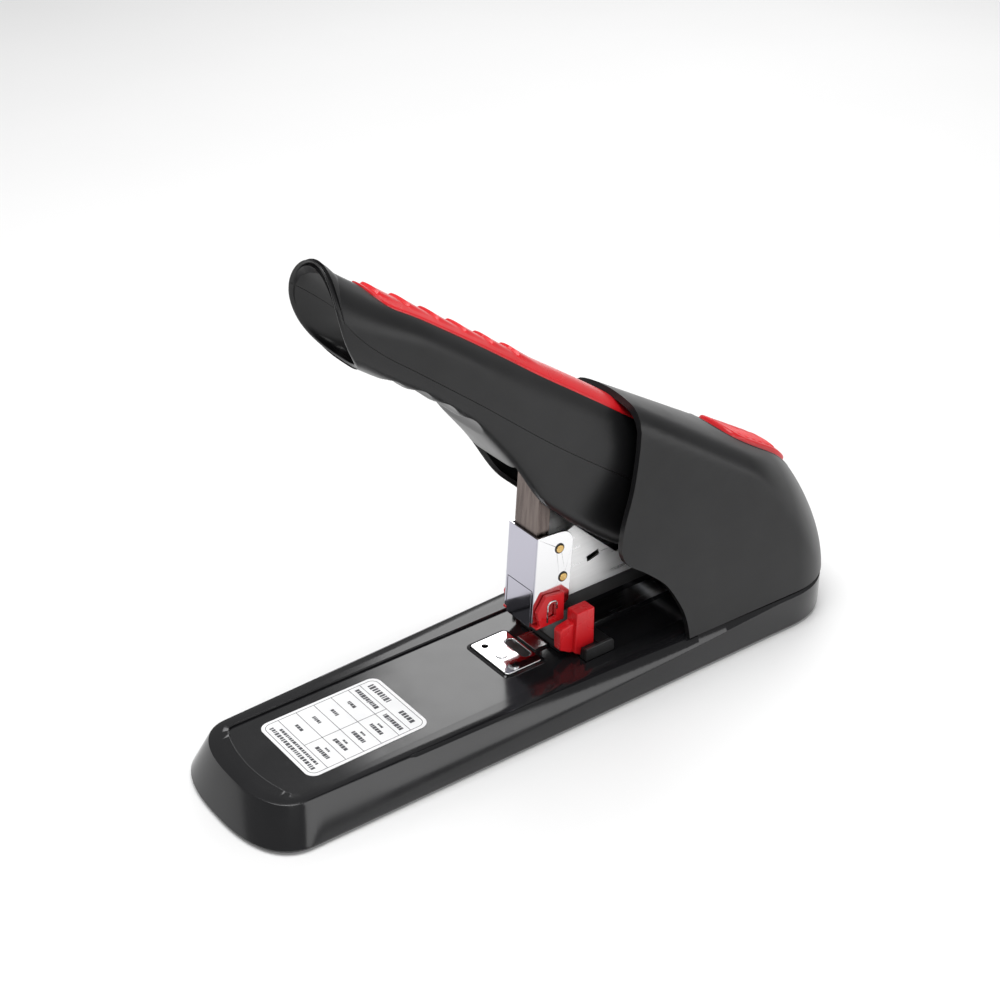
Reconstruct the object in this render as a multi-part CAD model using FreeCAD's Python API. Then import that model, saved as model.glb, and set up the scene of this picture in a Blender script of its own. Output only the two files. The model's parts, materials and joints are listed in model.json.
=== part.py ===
import FreeCAD, Part
import math
import os

# Heavy-duty desk stapler, millimetres. +X runs to the hinge end, +Z is up,
# the origin is on the desk under the middle of the base.

V = FreeCAD.Vector
MIDDLE = V(0, 0, 0)

# ---- staples: every size across the magazine comes from their crown ----
STAPLE_CROWN_HALF = 6.5
STAPLE_WIRE = 0.75
RUNNING_FIT = 0.05           # radial clearance of a turning pin
TRIM_GAP = 0.15              # clearance round a piece set into a recess

# ---- base ----
BASE_FRONT_X = -139.5        # tip of the nose on the desk
BASE_REAR_X = 139.5
BASE_FRONT_HALF = 34.8       # half width behind the nose, on the desk
BASE_REAR_HALF = 39.8
SHELL_BOTTOM_Z = 0.8         # the shell hangs clear of the desk on its feet
SHELL_WALL = 2.4
RIM_Z = 16.0
RIM_SETBACK = (6.9, 7.0, 1.4, 0.9)       # rim inside the foot line: nose, front side, rear side, tail
NOSE_LENGTH = 20.0
TAIL_LENGTH = 34.0
PANEL_THICK = 1.5
PANEL_DROP = 1.0             # the panel lies this far under the rim
PANEL_SETBACK = 8.3          # behind the rim's nose
PANEL_REAR_X = 100.0
PANEL_BORDER = 4.2           # rim left beside the panel at the front
PANEL_BOW = 4.6
PANEL_CORNER = 3.0
BASE_PLATE_THICK = 1.5
BASE_PLATE_INSET = 6.0
FOOT_RADIUS = 7.0
FOOT_HEIGHT = 1.2
FOOT_END = 29.0              # from each end of the base
FOOT_Y = 24.0
FOOT_POST_R = 2.8
LABEL_SETBACK = 13.5         # behind the panel's front
LABEL_LENGTH = 51.3
LABEL_HALF = 18.25
LABEL_THICK = 0.2
LABEL_CORNER = 4.0

RIM_FRONT_X = BASE_FRONT_X + RIM_SETBACK[0]
RIM_REAR_X = BASE_REAR_X - RIM_SETBACK[3]
RIM_FRONT_HALF = BASE_FRONT_HALF - RIM_SETBACK[1]
RIM_REAR_HALF = BASE_REAR_HALF - RIM_SETBACK[2]
PANEL_FRONT_X = RIM_FRONT_X + PANEL_SETBACK
PANEL_HALF = RIM_FRONT_HALF - PANEL_BORDER
DECK_Z = RIM_Z - PANEL_DROP
FOOT_XS = (BASE_FRONT_X + FOOT_END, BASE_REAR_X - FOOT_END)
BASE_PLATE_TOP = FOOT_HEIGHT + BASE_PLATE_THICK

# ---- anvil and paper stop ----
ANVIL_X = (-20.0, -2.8)
ANVIL_HALF = 12.0
ANVIL_THICK = 2.2
ANVIL_Z = RIM_Z              # working face
ANVIL_GAP = 0.6
RIVET_HEAD = 0.5
STRIP_HALF = 5.5
STRIP_THICK = 1.1
STRIP_REAR_X = 82.0
STRIP_GAP = 1.2
GUIDE_X = (5.0, 23.0)
GUIDE_LIFT = 0.25            # running clearance over the panel
GUIDE_CLEAR = 0.3
GUIDE_SADDLE_Z = DECK_Z + 3.4            # low middle of the slider, under the magazine
GUIDE_TOP_Z = DECK_Z + 6.2
GUIDE_WING = 1.4
GUIDE_HALF = 22.0
KNOB_X = (8.0, 17.0)
KNOB_WIDTH = 6.2
KNOB_TALL = 14.2

# ---- pivots ----
HANDLE_PIVOT = V(82, 0, 62)
HEAD_PIVOT = V(100, 0, 35)
HANDLE_AXLE_R = 4.0
HEAD_AXLE_R = 3.0
HANDLE_HALF = 17.0           # widest half width of the handle
FRAME_CLEAR = 2.0            # handle to frame plate
FRAME_THICK = 2.0
FRAME_X = (64.0, 118.0)
FRAME_FOOT = 9.0
FRAME_SLOT_GAP = 0.4
AXLE_HEAD = 1.6
SPACER_R = 3.5
FRAME_Y = (HANDLE_HALF + FRAME_CLEAR, HANDLE_HALF + FRAME_CLEAR + FRAME_THICK)

# ---- head (magazine body) ----
HEAD_LEAN = math.radians(3.66)
DRIVER_HALF = STAPLE_CROWN_HALF + 0.1
ARM_SHEET = 0.7
FRONT_SHEET = 0.9
SHEET_FIT = 0.3
ARM_INNER = DRIVER_HALF + SHEET_FIT
ARM_OUTER = ARM_INNER + ARM_SHEET
FRONT_HALF = ARM_OUTER + FRONT_SHEET
GATE_HALF = ARM_OUTER - 0.4
FRONT_X = -6.0               # front face at its lower edge
FRONT_BOTTOM_Z = 28.6
FLANGE_BOTTOM_Z = 31.2
FRONT_TOP_Z = 67.9
FLANGE_DEPTH = 17.7
FLANGE_CORNER = 6.0
HEAD_RIVET_R = 1.6
ARM_BOTTOM_Z = 36.4
ARM_GAP = 0.3
MAGAZINE_HALF = ARM_OUTER - SHEET_FIT
MAGAZINE_SHEET = 0.8
MAGAZINE_BOTTOM_Z = 30.0
MAGAZINE_REAR_X = 78.0
GATE_TOP_Z = 45.0
GATE_GAP = 0.15
GRIP_CLEAR = 0.35
GRIP_THICK = 1.65
CORE_HALF = STAPLE_CROWN_HALF - 2 * STAPLE_WIRE
CORE_TOP_Z = 43.0
CORE_FRONT_X = -2.5
PUSHER_LENGTH = 18.0
PUSHER_CLEAR = 0.3
BRIDGE_BOTTOM_Z = 29.4
ROD_R = 1.2
ROD_Z = 38.0
SPRING_WIRE = 0.8
GUIDE_SADDLE_HALF = FRONT_HALF + GRIP_CLEAR + GRIP_THICK + 1.5      # the dipping grips pass between the knobs

# ---- driver ----
DRIVER_SHEET = 1.0
DRIVER_DEPTH = 5.8
DRIVER_GAP = 0.25            # behind the front sheet
DRIVER_BOTTOM_Z = 46.5
DRIVER_TOP_Z = 106.0
DRIVER_RELIEF = 18.5         # plain blade below the flanges
DRIVE_PIN_Z = 101.0
DRIVE_PIN_R = 2.0
SLOT_CLEAR = 0.4
SLOT_RUN = 3.4               # how far the pin wanders along the slot

# ---- handle ----
LEVER_Y = (FRONT_HALF + 2.1, FRONT_HALF + 4.1)
HANDLE_WALL = 2.0
BELLY_WALL = 2.4

# stations along the handle: x, top z, bottom z, half width short of the widest
HANDLE_STATIONS = (
    (-90.0, 198.0, 163.0, 0.8),
    (-78.0, 190.5, 157.5, 0.0),
    (-58.0, 175.2, 145.0, 0.6),
    (-30.0, 156.0, 120.0, 0.4),
    (-12.0, 143.8, 92.0, 0.0),
    (10.0, 128.9, 70.0, 0.0),
    (30.0, 115.3, 55.0, 0.0),
    (56.0, 97.6, 50.0, 0.2),
    (76.0, 82.6, 50.0, 0.6),
)
HANDLE_ROUND = 3.2           # superellipse power of the handle's section
PARTING = ((-100.0, 196.0), (-85.3, 179.6), (-70.6, 164.8), (-38.7, 141.1), (-1.4, 110.0), (95.0, 40.0))
BELLY_LIP_X = -19.0
INSERT_HALF = 10.0
INSERT_X = (-78.0, 60.0)
INSERT_DEPTH = 3.2
INSERT_TIP = 16.0
END_BOWL = 6.0

# ---- rear housing ----
HOOD_WALL = 2.4
HOOD_TOP = V(35.5, 0, 115.8)
HOOD_SLOPE = math.atan(0.597)
HOOD_CROWN_R = 52.0
HOOD_BACK_R = 30.0
HOOD_GAP = 0.2               # over the rim
HOOD_MOUTH_HALF = 18.9       # half width at the top of the mouth
HOOD_SPREAD = 3.1            # wider at the rear than at the front
HOOD_TAIL = 31.0
HOOD_REAR_X = BASE_REAR_X - 0.2
HOOD_FOOT_HALF = BASE_REAR_HALF - 0.9
HOOD_LEVELS = (
    (RIM_Z + HOOD_GAP, HOOD_FOOT_HALF - 3.5, HOOD_FOOT_HALF),
    (65.0, HOOD_FOOT_HALF - 10.1, HOOD_FOOT_HALF - 7.1),
    (118.0, HOOD_MOUTH_HALF, HOOD_MOUTH_HALF + HOOD_SPREAD),
)
# front edge of the housing from the side: x, z
HOOD_MOUTH = (
    (50.5, -5.0), (50.5, 20.0), (48.7, 27.7), (45.0, 35.6), (39.6, 43.8), (30.4, 51.8), (22.6, 57.6),
    (20.4, 62.0), (21.0, 68.0), (28.4, 86.0), (33.4, 103.0), (35.8, 118.0), (36.0, 140.0),
)

# ---- release button ----
BUTTON_S = (66.0, 105.0)     # along the slope from the top of the mouth
BUTTON_HALF = 12.4
BUTTON_PROUD = 1.4
BUTTON_SKIRT = 7.0
BUTTON_WALL = 2.0
BUTTON_STEM = 17.7
BUTTON_GAP = 0.35
BEZEL_S = (56.0, 108.5)
BEZEL_HALF = 14.6
BEZEL_THICK = 6.4
SCREW_R = 1.6
HOUSING_SCREW_Y = 28.4
LATCH_PIVOT = V(109.0, 0, 46.0)
LATCH_PIN_R = 2.0
LATCH_HALF = 4.0
HEAD_SPRING_X = 89.0
HEAD_SPRING_WIRE = 1.2


def box(x, y, z):
    """Box from three (low, high) pairs."""
    return Part.makeBox(x[1] - x[0], y[1] - y[0], z[1] - z[0], V(x[0], y[0], z[0]))


def both_sides(shape):
    """The shape and its mirror image across the middle plane."""
    return shape.fuse(shape.mirror(MIDDLE, V(0, 1, 0)))


def pair(shape):
    """Two separate solids, one each side of the middle plane."""
    return Part.makeCompound([shape, shape.mirror(MIDDLE, V(0, 1, 0))])


def pin_y(x, z, radius, y):
    """Cylinder across the stapler between two y values."""
    return Part.makeCylinder(radius, y[1] - y[0], V(x, y[0], z), V(0, 1, 0))


def pin_z(x, y, radius, z):
    return Part.makeCylinder(radius, z[1] - z[0], V(x, y, z[0]), V(0, 0, 1))


def side_plate(outline, y):
    """Plate whose (x, z) outline is pushed from one y to the other."""
    corners = [V(x, y[0], z) for x, z in outline]
    face = Part.Face(Part.makePolygon(corners + corners[:1]))
    return face.extrude(V(0, y[1] - y[0], 0))


def rounded_slab(x, half, z, corner):
    """Flat slab, symmetric about the middle, with rounded upright corners."""
    slab = box(x, (-half, half), z)
    upright = [e for e in slab.Edges if abs(e.Vertexes[0].Z - e.Vertexes[-1].Z) > (z[1] - z[0]) / 2]
    return slab.makeFillet(corner, upright)


def plan_wire(front_x, rear_x, half_front, half_rear, nose, tail, z, nose_power=2.5, tail_power=2.2):
    """Closed plan outline with a rounded nose and a rounded tail."""
    points = []
    steps = 28
    for i in range(steps + 1):
        swing = math.pi * i / steps
        x = (front_x + rear_x) / 2 - (rear_x - front_x) / 2 * math.cos(swing)
        share = (x - front_x) / (rear_x - front_x)
        y = half_front + (half_rear - half_front) * share
        if x < front_x + nose:
            y *= max(0.0, 1 - ((front_x + nose - x) / nose) ** nose_power) ** (1 / nose_power)
        if x > rear_x - tail:
            y *= max(0.0, 1 - ((x - rear_x + tail) / tail) ** tail_power) ** (1 / tail_power)
        points.append(V(x, y, z))
    points[0] = V(front_x, 0, z)
    points[-1] = V(rear_x, 0, z)
    sides = []
    for sign in (1, -1):
        curve = Part.BSplineCurve()
        curve.interpolate([V(p.x, sign * p.y, z) for p in points])
        sides.append(curve.toShape())
    return Part.Wire([sides[0], sides[1]])


def loft(wires):
    return Part.makeLoft(wires, True, False)


# ---------------------------------------------------------------- base

def base_shell():
    """Moulded base, open underneath, with a recess for the glossy panel."""
    def wire(z, inset=0.0):
        up = (z - SHELL_BOTTOM_Z) / (RIM_Z - SHELL_BOTTOM_Z)
        mix = [low + (high - low) * up for low, high in (
            (BASE_FRONT_X, RIM_FRONT_X), (BASE_REAR_X, RIM_REAR_X),
            (BASE_FRONT_HALF, RIM_FRONT_HALF), (BASE_REAR_HALF, RIM_REAR_HALF))]
        return plan_wire(mix[0] + inset, mix[1] - inset, mix[2] - inset, mix[3] - inset,
                         NOSE_LENGTH - inset - 5 * up, TAIL_LENGTH - inset, z)
    skin_z = RIM_Z - PANEL_DROP - PANEL_THICK
    body = Part.makeLoft([wire(SHELL_BOTTOM_Z), wire(RIM_Z)], True, True)
    hollow = Part.makeLoft([wire(SHELL_BOTTOM_Z, SHELL_WALL), wire(skin_z - SHELL_WALL, SHELL_WALL)],
                           True, True)
    hollow = hollow.fuse(Part.Face(wire(SHELL_BOTTOM_Z, SHELL_WALL)).extrude(V(0, 0, -1)))
    recess = panel_slab(TRIM_GAP, skin_z, RIM_Z + 1)
    pocket = anvil_opening(ANVIL_Z - ANVIL_THICK)
    body = body.cut(hollow).cut(recess).cut(pocket)
    for x in FOOT_XS:
        for y in (-FOOT_Y, FOOT_Y):
            post = pin_z(x, y, FOOT_POST_R, (BASE_PLATE_TOP, skin_z - SHELL_WALL + 0.5))
            body = body.fuse(post)
    for slot in frame_slots(skin_z - SHELL_WALL - 1, RIM_Z + 1):
        body = body.cut(slot)
    for x, y in housing_screw_places():
        body = body.cut(pin_z(x, y, SCREW_R, (0, RIM_Z + 1)))
    return body.removeSplitter()


def anvil_opening(low):
    return box((ANVIL_X[0] - ANVIL_GAP, ANVIL_X[1] + ANVIL_GAP),
               (-ANVIL_HALF - ANVIL_GAP, ANVIL_HALF + ANVIL_GAP),
               (low, RIM_Z))


def frame_slots(low, high):
    """Cut-outs that let the frame plates stand on the base plate."""
    grow = FRAME_SLOT_GAP
    near = box((FRAME_X[0] - grow, FRAME_X[1] + grow), (FRAME_Y[0] - grow, FRAME_Y[1] + grow), (low, high))
    return [near, near.mirror(MIDDLE, V(0, 1, 0))]


def panel_slab(grow, low, high):
    """Glossy panel's outline: bowed front edge, small corners, square rear."""
    front = PANEL_FRONT_X - grow
    half = PANEL_HALF + grow
    rear = PANEL_REAR_X + grow
    left = V(front + PANEL_BOW, -half, low)
    right = V(front + PANEL_BOW, half, low)
    bow = Part.Arc(left, V(front, 0, low), right).toShape()
    edges = [bow, Part.makeLine(right, V(rear, half, low)), Part.makeLine(V(rear, half, low), V(rear,
                                                                                                -half, low)),
             Part.makeLine(V(rear, -half, low), left)]
    slab = Part.Face(Part.Wire(edges)).extrude(V(0, 0, high - low))
    upright = [e for e in slab.Edges if abs(e.BoundBox.XMax - left.x) < 0.01 and e.BoundBox.XLength < 0.01
               and e.BoundBox.YLength < 0.01]
    return slab.makeFillet(PANEL_CORNER + grow, upright)


def deck_panel():
    panel = panel_slab(0.0, DECK_Z - PANEL_THICK, DECK_Z).cut(anvil_opening(0))
    for slot in frame_slots(0, RIM_Z):
        panel = panel.cut(slot)
    return panel


def base_plate():
    inset = BASE_PLATE_INSET
    wire = plan_wire(BASE_FRONT_X + inset, BASE_REAR_X - inset, BASE_FRONT_HALF - 0.75 * inset,
                     BASE_REAR_HALF - 0.85 * inset, NOSE_LENGTH - 2, TAIL_LENGTH - 4, FOOT_HEIGHT)
    return Part.Face(wire).extrude(V(0, 0, BASE_PLATE_THICK))


def rubber_feet():
    return Part.makeCompound([pin_z(x, y, FOOT_RADIUS,
                                    (0, FOOT_HEIGHT)) for x in FOOT_XS for y in (-FOOT_Y, FOOT_Y)])


def size_label():
    front = PANEL_FRONT_X + LABEL_SETBACK
    return rounded_slab((front, front + LABEL_LENGTH), LABEL_HALF, (DECK_Z, DECK_Z + LABEL_THICK),
                        LABEL_CORNER)


def anvil_centre_x():
    return (ANVIL_X[0] + ANVIL_X[1]) / 2


def anvil_plate():
    """Chromed anvil with a clinching groove for each staple leg."""
    plate = rounded_slab(ANVIL_X, ANVIL_HALF, (ANVIL_Z - ANVIL_THICK, ANVIL_Z), 1.2)
    groove_x = ANVIL_X[1] - 4.2
    for sign in (-1, 1):
        groove = Part.makeCylinder(2.0, 5.4, V(groove_x, sign * 3.9 - 2.7, ANVIL_Z + 1.3), V(0, 1, 0))
        plate = plate.cut(groove)
    for rivet in rivet_places():
        plate = plate.cut(pin_z(rivet[0], rivet[1], rivet[2], (0, ANVIL_Z + 1)))
    hole = pin_z(ANVIL_X[0] + 4.5, ANVIL_HALF - 4.0, 1.3, (0, ANVIL_Z + 1))
    return plate.cut(hole)


def rivet_places():
    x = anvil_centre_x()
    return ((x - 2.6, -0.5, 1.5), (x - 2.8, -ANVIL_HALF + 3.2, 1.5))


def anvil_rivets():
    solids = []
    for x, y, radius in rivet_places():
        shank = pin_z(x, y, radius, (ANVIL_Z - ANVIL_THICK, ANVIL_Z))
        solids.append(shank.fuse(pin_z(x, y, radius + 0.7, (ANVIL_Z, ANVIL_Z + RIVET_HEAD))))
    return Part.makeCompound(solids)


def depth_strip():
    return box((ANVIL_X[1] + STRIP_GAP, STRIP_REAR_X), (-STRIP_HALF, STRIP_HALF),
               (DECK_Z, DECK_Z + STRIP_THICK))


def frame_plate(side):
    """Upright steel plate that carries both pivots, with a foot flange."""
    top_x = HANDLE_PIVOT.x
    outline = [(FRAME_X[0], BASE_PLATE_TOP), (FRAME_X[1], BASE_PLATE_TOP), (FRAME_X[1] - 2, 44),
               (top_x + 13, HANDLE_PIVOT.z + 7), (top_x + 5, HANDLE_PIVOT.z + 11),
               (top_x - 6, HANDLE_PIVOT.z + 10), (top_x - 12, HANDLE_PIVOT.z)]
    plate = side_plate(outline, FRAME_Y)
    foot = box((FRAME_X[0], FRAME_X[1]), (FRAME_Y[0] - FRAME_FOOT, FRAME_Y[0]),
               (BASE_PLATE_TOP, BASE_PLATE_TOP + 2))
    plate = plate.fuse(foot)
    for place, radius in ((HANDLE_PIVOT, HANDLE_AXLE_R), (HEAD_PIVOT, HEAD_AXLE_R)):
        plate = plate.cut(pin_y(place.x, place.z, radius, (0, 40)))
    for x, z in spacer_places():
        plate = plate.cut(pin_y(x, z, SCREW_R, (0, 40)))
    return plate if side > 0 else plate.mirror(MIDDLE, V(0, 1, 0))


def spacer_places():
    return ((FRAME_X[0] + 5, 23.0), (FRAME_X[1] - 6, 23.0))


def frame_spacers():
    """Cross tubes that hold the frame plates apart, each with its screw."""
    solids = []
    for x, z in spacer_places():
        tube = pin_y(x, z, SPACER_R, (-FRAME_Y[0], FRAME_Y[0]))
        screw = pin_y(x, z, SCREW_R, (-FRAME_Y[1], FRAME_Y[1]))
        heads = both_sides(pin_y(x, z, SPACER_R - 0.4, (FRAME_Y[1], FRAME_Y[1] + 1.2)))
        solids.append(tube.fuse(screw).fuse(heads))
    return Part.makeCompound(solids)


def axle(place, radius):
    shank = pin_y(place.x, place.z, radius, (-FRAME_Y[1], FRAME_Y[1]))
    heads = both_sides(pin_y(place.x, place.z, radius + 1.6, (FRAME_Y[1], FRAME_Y[1] + AXLE_HEAD)))
    return shank.fuse(heads)


def coil(centre, axis, radius, wire, turns, pitch):
    """Spring drawn as closed turns laid side by side."""
    rings = []
    for i in range(turns):
        rings.append(Part.makeTorus(radius, wire / 2, centre + axis * (pitch * i), axis))
    return Part.makeCompound(rings)


def handle_spring():
    """Torsion spring on the handle axle that lifts the handle."""
    wire = 1.6
    turns = 5
    pitch = wire + 0.1
    start = HANDLE_PIVOT + V(0, -pitch * (turns - 1) / 2, 0)
    return coil(start, V(0, 1, 0), HANDLE_AXLE_R + wire / 2 + 0.4, wire, turns, pitch)


def head_spring():
    """Compression spring under the magazine."""
    low = DECK_Z + HEAD_SPRING_WIRE / 2
    high = BRIDGE_BOTTOM_Z - HEAD_SPRING_WIRE / 2
    turns = 6
    pitch = (high - low) / (turns - 1)
    return coil(V(HEAD_SPRING_X, 0, low), V(0, 0, 1), 4.2, HEAD_SPRING_WIRE, turns, pitch)


# ---------------------------------------------------------------- rear housing

def slope_frame(s, n=0.0):
    """Point on the housing's top line, s along it and n above it."""
    return HOOD_TOP + V(math.cos(HOOD_SLOPE), 0, -math.sin(HOOD_SLOPE)) * s \
        + V(math.sin(HOOD_SLOPE), 0, math.cos(HOOD_SLOPE)) * n


def slope_box(s, half, n):
    """Box laid along the slope, from s[0] to s[1] and from n[0] to n[1] above it."""
    block = box(s, (-half, half), n)
    block.rotate(MIDDLE, V(0, 1, 0), math.degrees(HOOD_SLOPE))
    block.translate(HOOD_TOP)
    return block


def hood_solid(inset):
    """Outer shape of the housing, drawn in by inset on every side but the bottom."""
    wires = []
    for z, front, rear in HOOD_LEVELS:
        wires.append(plan_wire(-30, HOOD_REAR_X - inset, front - inset, rear - inset, 12,
                               HOOD_TAIL - inset, z))
    body = loft(wires)
    turn = slope_frame(0, -inset)
    far = slope_frame(-80, -inset)
    back = HOOD_REAR_X - inset
    outline = [(far.x, far.z), (back, turn.z - (back - turn.x) * math.tan(HOOD_SLOPE)), (back, 0), (-60, 0)]
    keep = side_plate(outline, (-60, 60))
    corner = [e for e in keep.Edges if abs(e.CenterOfMass.x - back) < 0.1
              and abs(e.CenterOfMass.z - outline[1][1]) < 0.1]
    keep = keep.makeFillet(HOOD_BACK_R - inset, corner)
    low = slope_frame(-80, -HOOD_CROWN_R)
    crown = Part.makeCylinder(HOOD_CROWN_R - inset, 300, low,
                              V(math.cos(HOOD_SLOPE), 0, -math.sin(HOOD_SLOPE)))
    below = slope_box((-120, 220), 60, (-260, -HOOD_CROWN_R))
    return body.common(keep).common(crown.fuse(below))


def mouth_cut():
    """Everything in front of the housing's mouth, seen from the side."""
    return side_plate([(-70, -5), *HOOD_MOUTH, (-70, 140)], (-60, 60))


def rear_housing():
    shell = hood_solid(0.0).cut(hood_solid(HOOD_WALL)).cut(mouth_cut())
    floor_cut = hood_solid(HOOD_WALL).common(box((-60, 160), (-60, 60), (0, HOOD_LEVELS[0][0] + 4)))
    shell = shell.cut(floor_cut)
    opening = slope_box(BEZEL_S, BEZEL_HALF, (-12, 12))
    return shell.cut(opening)


def button_bezel():
    """Inset frame round the release button."""
    ring = slope_box((BEZEL_S[0] + TRIM_GAP, BEZEL_S[1] - TRIM_GAP), BEZEL_HALF - TRIM_GAP,
                     (-BEZEL_THICK, 3))
    ring = ring.common(hood_solid(0.4))
    hole = slope_box((BUTTON_S[0] - BUTTON_GAP, BUTTON_S[1] + BUTTON_GAP), BUTTON_HALF + BUTTON_GAP,
                     (-20, 12))
    return ring.cut(hole)


def release_button():
    """Ribbed push button that slides square to the slope."""
    body = slope_box(BUTTON_S, BUTTON_HALF, (-BUTTON_SKIRT, 3)).common(hood_solid(-BUTTON_PROUD))
    hollow = slope_box((BUTTON_S[0] + BUTTON_WALL, BUTTON_S[1] - BUTTON_WALL), BUTTON_HALF - BUTTON_WALL,
                       (-BUTTON_SKIRT - 1, -2.6))
    body = body.cut(hollow)
    middle = (BUTTON_S[0] + BUTTON_S[1]) / 2
    stem = slope_box((middle - 3, middle + 3), 3, (-BUTTON_STEM, -2))
    return body.fuse(stem)


def housing_screws():
    """Screws that hold the housing down to the base, on bosses near its rear."""
    solids = []
    for x, y in housing_screw_places():
        shank = pin_z(x, y, SCREW_R, (6.0, RIM_Z))
        solids.append(shank.fuse(pin_z(x, y, 2.9, (RIM_Z, RIM_Z + 2.2))))
    return Part.makeCompound(solids)


def housing_screw_places():
    return [(x, sign * HOUSING_SCREW_Y) for x in (70.0, 116.0) for sign in (-1, 1)]


# ---------------------------------------------------------------- handle

def section_wire(x, top, bottom, half, inset):
    """Rounded cross-section of the handle in the plane of one x."""
    points = []
    steps = 24
    centre = (top + bottom) / 2
    height = (top - bottom) / 2 - inset
    for i in range(steps):
        turn = 2 * math.pi * (i + 0.5) / steps
        c, s = math.cos(turn), math.sin(turn)
        size = (abs(c) ** HANDLE_ROUND + abs(s) ** HANDLE_ROUND) ** (-1 / HANDLE_ROUND)
        points.append(V(x, (half - inset) * c * size, centre + height * s * size))
    curve = Part.BSplineCurve()
    curve.interpolate(points, PeriodicFlag=True)
    return Part.Wire([curve.toShape()])


def handle_solid(inset):
    wires = [section_wire(x, top, bottom, HANDLE_HALF - slim, inset) for x, top, bottom,
             slim in HANDLE_STATIONS]
    return loft(wires)


def above_parting(lift=0.0):
    outline = [(x, z + lift) for x, z in PARTING] + [(95, 260), (-100, 260)]
    return side_plate(outline, (-40, 40))


def belly_opening():
    """Open underside between the handle's side walls."""
    outline = [(BELLY_LIP_X, 20), (BELLY_LIP_X, 103), (-10, 112), (HANDLE_PIVOT.x - 20, 70), (95, 70),
               (95, 20)]
    half = HANDLE_HALF - BELLY_WALL
    return side_plate(outline, (-half, half))


def end_bowl():
    x, top, bottom, slim = HANDLE_STATIONS[0]
    half = HANDLE_HALF - slim
    rim = section_wire(x - 1, top, bottom, half, 2.4)
    deep = section_wire(x + END_BOWL, top - 8, bottom + 1, half, 7.5)
    return Part.makeLoft([rim, deep], True, True)


def insert_prism(grow):
    """Plan shape of the grip insert: pointed at the front, straight behind."""
    tip, rear = INSERT_X
    half = INSERT_HALF + grow
    corners = [V(tip - grow, 0, 0), V(tip + INSERT_TIP, -half, 0), V(rear + grow, -half, 0),
               V(rear + grow, half, 0), V(tip + INSERT_TIP, half, 0)]
    return Part.Face(Part.makePolygon(corners + corners[:1])).extrude(V(0, 0, 260))


def insert_band():
    """Skin of the handle between its surface and the insert's depth."""
    shallow = handle_solid(0.0)
    lower = handle_solid(0.0)
    lower.translate(V(0, 0, -INSERT_DEPTH))
    return shallow.cut(lower)


def lever_room():
    """Space for the steel lever inside the shells."""
    return side_plate(lever_outline(0.4), (-LEVER_Y[1] - 0.3, LEVER_Y[1] + 0.3))


def handle_cavity():
    return handle_solid(HANDLE_WALL).common(box((-80, 70), (-40, 40), (0, 260)))


def handle_upper_shell():
    shell = handle_solid(0.0).cut(handle_cavity()).common(above_parting(0.05))
    shell = shell.cut(insert_band().common(insert_prism(TRIM_GAP)))
    shell = shell.cut(belly_opening()).cut(end_bowl()).cut(lever_room())
    return shell.removeSplitter()


def handle_lower_shell():
    shell = handle_solid(0.0).cut(handle_cavity()).cut(above_parting(-0.05))
    shell = shell.cut(belly_opening()).cut(end_bowl()).cut(lever_room())
    for x, y, z in handle_screw_places():
        shell = shell.cut(pin_z(x, y, SCREW_R, (z - 12, z + 12)))
    return shell


def grip_insert():
    return insert_band().common(insert_prism(0.0)).common(box((-90, INSERT_X[1]), (-30, 30), (0, 260)))


def lever_outline(grow=0.0):
    """Side view of the steel lever."""
    p = HANDLE_PIVOT
    return [(-52 - grow, 162 + grow), (-52 - grow, 152 - grow), (-14, 119 - grow), (-8 - grow, 96 - grow),
            (9 + grow, 96 - grow), (14 + grow, 106 - grow), (p.x - 14, p.z - 2 - grow), (p.x - 4,
                                                                                         p.z - 9 - grow),
            (p.x + 7 + grow, p.z - 7 - grow), (p.x + 9 + grow, p.z + 4), (p.x + 2, p.z + 10 + grow),
            (p.x - 12, 80 + grow), (9, 121 + grow)]


def handle_lever():
    """Two side plates and a top web bent from one sheet, with the driver slots."""
    block = side_plate(lever_outline(), (-LEVER_Y[1], LEVER_Y[1]))
    room = [(x, z) for x, z in lever_outline()]
    lower = side_plate([(x, z - 2.2) if z > 100 and i in (0, 11, 12) else (x, z - 30)
                        for i, (x, z) in enumerate(room)], (-LEVER_Y[0], LEVER_Y[0]))
    block = block.cut(lower)
    block = block.cut(box((-70, -49.5), (-LEVER_Y[0], LEVER_Y[0]), (100, 160.5)))
    block = block.cut(box((HANDLE_PIVOT.x - 24, 120), (-LEVER_Y[0], LEVER_Y[0]), (20, 120)))
    block = block.cut(pin_y(HANDLE_PIVOT.x, HANDLE_PIVOT.z, HANDLE_AXLE_R + RUNNING_FIT, (-40, 40)))
    return block.cut(driver_slot())


def drive_pin_x():
    return FRONT_X + FRONT_SHEET + DRIVER_GAP + DRIVER_DEPTH / 2 \
        + (DRIVE_PIN_Z - FRONT_BOTTOM_Z) * math.tan(HEAD_LEAN)


def driver_slot():
    """Slot in the lever plates that the driver's pin rolls along."""
    radius = DRIVE_PIN_R + SLOT_CLEAR
    x = drive_pin_x()
    ends = (x - 0.2, x + SLOT_RUN)
    slot = box(ends, (-40, 40), (DRIVE_PIN_Z - radius, DRIVE_PIN_Z + radius))
    for end in ends:
        slot = slot.fuse(pin_y(end, DRIVE_PIN_Z, radius, (-40, 40)))
    return slot


def handle_screw_places():
    return [(x, sign * 8.0, z) for x, z in ((-66.0, 151.6), (-40.0, 131.0)) for sign in (-1, 1)]


def handle_screws():
    """Screws that close the two handle shells from underneath."""
    return Part.makeCompound([pin_z(x, y, SCREW_R, (z, z + 6)) for x, y, z in handle_screw_places()])


# ---------------------------------------------------------------- head

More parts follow.
